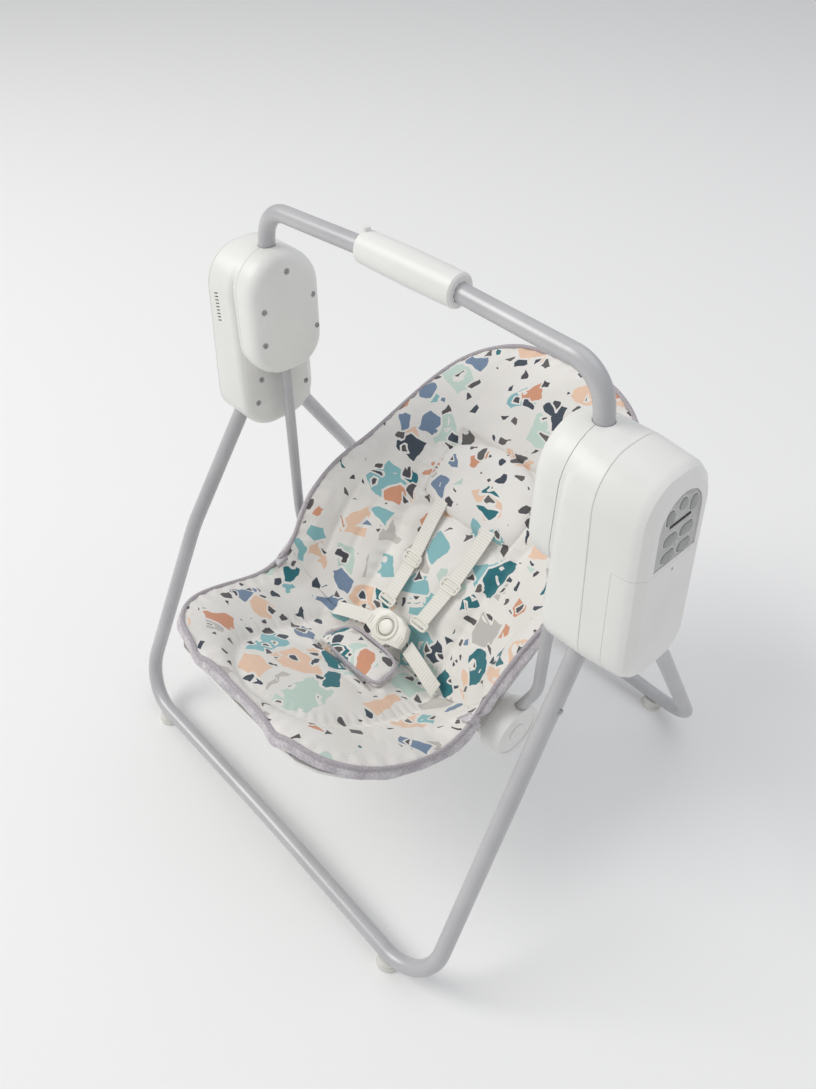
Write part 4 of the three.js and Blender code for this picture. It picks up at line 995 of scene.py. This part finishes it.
# Its fullness, the height of its creases and how far its edge is sunk into the cover.
PILLOW_SWELL = 19
PILLOW_CREASE = 0.9
PILLOW_SUNK = 1.5
half, low, high = HEAD_PILLOW
pillow = bmesh.new()
bmesh.ops.create_grid(pillow, x_segments=64, y_segments=34, size=1)
for vert in pillow.verts:
    u, v = vert.co.x, vert.co.y
    x = half * u * math.sqrt(1 - 0.13 * v * v)
    top = high - 16 * (x / 70) ** 2
    bottom = low + 2 * (x / 70) ** 2
    y = (top + bottom) / 2 + (top - bottom) / 2 * v * math.sqrt(1 - 0.16 * u * u)
    surface_spot, normal = cover_solids.ray_cast(place(x, y, ABOVE_SEAT), DOWN)[:2]
    swell = (1 - u**6) ** 0.5 * (1 - abs(v) ** 3.2) ** 0.5
    crease = bell(1 - abs(u), 0.16) * math.sin(v * 9)
    crease += bell(1 + v, 0.2) * math.sin(u * 17 + 0.7)
    height = PILLOW_SWELL * swell + PILLOW_CREASE * crease * swell - PILLOW_SUNK
    vert.co = surface_spot + normal * height * MM
bmesh.ops.recalc_face_normals(pillow, faces=pillow.faces)
if sum(f.normal.z for f in pillow.faces) < 0:
    bmesh.ops.reverse_faces(pillow, faces=pillow.faces)
bmesh.ops.solidify(pillow, geom=pillow.faces, thickness=3 * MM)
pillow_piece = finished(pillow, "head_pillow", "seat", chip_cloth, math.radians(80))


# ---------------------------------------------------------------- crotch pad
# A wedge cushion between the legs carries the buckle: a printed top, a grey piping round it and a
# gusset of the grey jersey.

crotch_cushion = quilted("crotch_cushion", "crotch_pad", None, 7, 6, 0.4)
crotch_solid = bvh_of("crotch_pad")
crotch_centre = place(0, -83, 220)
crotch_rim = rim_line(["crotch_pad"], crotch_centre, 9)
crotch_crest = [spot + Vector((0, 0, 4.5 * MM)) for spot in crotch_rim]
crotch_piping = swept("crotch_piping", crotch_crest, 2.4, "seat", piping_cloth, True, 4)
CROTCH_ROWS = [(-4.5, 0.5, 0), (-1, 1.5, 0.2), (4, 1.5, 0.4), (8, 0, 0.3)]
crotch_gusset = border(
    "crotch_gusset", crotch_rim, crotch_centre, CROTCH_ROWS, "seat", melange, crotch_solid
)
for vert in crotch_cushion.data.vertices:
    vert.co.z += 3 * MM
# The stuffed wedge spreads wider than its bare pad.
CROTCH_SPREAD = 1.18
for spread_piece in (crotch_cushion, crotch_piping, crotch_gusset):
    for vert in spread_piece.data.vertices:
        vert.co.x = middle_x + (vert.co.x - middle_x) * CROTCH_SPREAD


# ---------------------------------------------------------------- harness
# Two shoulder straps and two waist straps of ivory polypropylene webbing, 20 mm wide, meet in a
# moulded buckle on the crotch pad. Each shoulder strap has a slider halfway and a clip at its end.

STRAP_HALF = 10
STRAP_THICK = 1.7

# Polypropylene webbing: ribs across the strap at 2 mm along it, coarser than the real 1.2 mm.
RIB_PITCH = 2.0
webbing, tree, shader = new_material("ivory_ribbed_webbing", Roughness=0.7, Sheen_Weight=0.1)
own = add_node(tree, "ShaderNodeTexCoord")
ribs = add_node(
    tree,
    "ShaderNodeTexWave",
    {"Vector": own.outputs["UV"], "Scale": 1000 / RIB_PITCH / math.tau, "Distortion": 0.4},
    bands_direction="Y",
)
tone = add_node(tree, "ShaderNodeValToRGB", {"Fac": ribs.outputs[1]})
ramp_stops(tone, [(0.2, linear("DFDDD5")), (0.8, linear("EAE8E0"))])
tree.links.new(tone.outputs[0], shader.inputs["Base Color"])
bump = add_node(
    tree, "ShaderNodeBump", {"Height": ribs.outputs[1], "Strength": 0.4, "Distance": 0.2 * MM}
)
tree.links.new(bump.outputs[0], shader.inputs["Normal"])

# Acetal fittings: smooth ivory with a soft gloss, and faint flow marks from the mould.
ivory_acetal, tree, shader = new_material("glossy_ivory_acetal", Roughness=0.3, IOR=1.48)
spot = grain_bump(tree, shader, 2, 0.01)
two_tones(tree, shader, spot, 33.3, "E2E0D6", "ECEAE2")


def strap(name, points, across, node_name):
    """A strip of webbing along points in millimetres, with its own UV map in metres along it."""
    line = smooth_line([place(*spot) for spot in points], 9)
    made = bmesh.new()
    bmesh.ops.create_grid(made, x_segments=6, y_segments=len(line) - 1, size=1)
    layer = made.loops.layers.uv.new("along")
    runs = [0.0]
    for a, b in zip(line, line[1:]):
        runs.append(runs[-1] + (b - a).length)
    for vert in made.verts:
        row = round((vert.co.y + 1) / 2 * (len(line) - 1))
        u = vert.co.x
        for loop in vert.link_loops:
            loop[layer].uv = (u * STRAP_HALF * MM, runs[row])
        vert.co = line[row] + Vector(across) * u * STRAP_HALF * MM
    bmesh.ops.recalc_face_normals(made, faces=made.faces)
    bmesh.ops.solidify(made, geom=made.faces, thickness=STRAP_THICK * MM)
    shown = finished(made, name, "seat", webbing, math.radians(60))
    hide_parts(node_name)
    return line


def slider(name, line, at, across, half_width, half_length):
    """A moulded ring round a strap with a bar across its middle, centred on a point of its line."""
    middle = min(line, key=lambda p: (p - at).length)
    index = line.index(middle)
    along = (line[min(index + 2, len(line) - 1)] - line[max(index - 2, 0)]).normalized()
    side = Vector(across).normalized()
    up = side.cross(along)
    up = up if up.z > 0 else -up
    centre = middle + up * 2.2 * MM
    loop = []
    for k in range(32):
        a = math.tau * k / 32
        c, s = math.cos(a), math.sin(a)
        u = math.copysign(abs(c) ** 0.45, c) * half_width
        v = math.copysign(abs(s) ** 0.45, s) * half_length
        loop.append(centre + (side * u + along * v) * MM)
    swept(name + "_ring", loop, 1.8, "seat", ivory_acetal, True, 3)
    bar = [centre - side * half_width * MM, centre + side * half_width * MM]
    swept(name + "_bar", bar, 1.5, "seat", ivory_acetal, sides=3)


SHOULDER = [(43, 112, 358), (41, 82, 325), (36, 44, 284), (32, 6, 254), (31, -8, 243)]
WAIST = [(37, -34, 224), (60, -38, 218), (84, -42, 210), (100, -43, 202)]
for side, sign in (("right", 1), ("left", -1)):
    points = [(sign * x, y, z) for x, y, z in SHOULDER]
    line = strap(side + "_shoulder_webbing", points, (1, 0, 0), side + "_shoulder_strap")
    slider(side + "_strap_slider", line, place(sign * 36, 45, 284), (1, 0, 0), 13.5, 8)
    slider(side + "_strap_clip", line, place(sign * 31, -6, 244), (1, 0, 0), 12.5, 6)
    points = [(sign * x, y, z) for x, y, z in WAIST]
    strap(side + "_waist_webbing", points, (0, 0.82, 0.57), side + "_waist_strap")

# The buckle lies tilted on the crotch pad, with a raised ring round its button.
BUCKLE_RING_R = 16
BUCKLE_TOP = 13.2
buckle_turn = Matrix.Translation(place(0, -30, 228)) @ Matrix.Rotation(math.radians(38), 4, "X")
from_solids("buckle_moulding", ["buckle_body"], "seat", ivory_acetal, "buckle_ivory", 1.5)
from_solids(
    "buckle_release_button", ["buckle_button"], "buckle_button", ivory_acetal, "buckle_ivory", 0.8
)
ring = []
for k in range(40):
    a = math.tau * k / 40
    u, v = BUCKLE_RING_R * MM * math.cos(a), BUCKLE_RING_R * MM * math.sin(a)
    ring.append(buckle_turn @ Vector((u, v, BUCKLE_TOP * MM)))
swept("buckle_ring", ring, 2.4, "seat", ivory_acetal, True, 4)
for x in (-29, -25, 25, 29):
    ends = [buckle_turn @ Vector((x * MM, y * MM, 13 * MM)) for y in (-9, 3)]
    swept(f"buckle_rib_{x}".replace("-", "left_"), ends, 1.0, "seat", ivory_acetal, sides=3)


# ---------------------------------------------------------------- inner parts
# The parts inside the housings keep the frame's shapes: steel pins and plates, acetal bushes and
# gears, and the electrics.

# Machined steel, lightly oiled.
bare_steel, tree, shader = new_material("machined_steel", Metallic=1.0, Roughness=0.34)
spot = grain_bump(tree, shader, 0.4, 0.01)
two_tones(tree, shader, spot, 6.25, "9A9B9D", "B8B9BB")

# Glass-fibre circuit board under a green solder mask.
board_mask, tree, shader = new_material("green_solder_mask", Roughness=0.35)
spot = grain_bump(tree, shader, 1, 0.02)
two_tones(tree, shader, spot, 2.5, "1F5A38", "2E7047", (0.35, 0.65))

# Shrink sleeve of an alkaline cell: dark, glossy film.
cell_film, tree, shader = new_material("glossy_cell_sleeve", Roughness=0.25)
spot = grain_bump(tree, shader, 2, 0.02)
two_tones(tree, shader, spot, 12.5, "2B2C30", "3C3D42", (0.35, 0.65))

INNER = {
    "battery_cell_1": cell_film,
    "battery_cell_2": cell_film,
    "battery_cell_3": cell_film,
    "battery_cell_4": cell_film,
    "battery_tray": white_abs,
    "circuit_board": board_mask,
    "crank_gear": ivory_acetal,
    "motor_pinion": ivory_acetal,
    "gearbox_plate": bare_steel,
    "motor": zinc_steel,
    "speaker": cell_film,
}
for side in ("right", "left"):
    INNER[side + "_bearing_bush"] = ivory_acetal
    INNER[side + "_hub_axle"] = bare_steel
    INNER[side + "_front_leg_pivot"] = bare_steel
    INNER[side + "_rear_leg_pivot"] = bare_steel
for node_name, material in INNER.items():
    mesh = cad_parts[node_name].data
    mesh.materials.clear()
    mesh.materials.append(material)
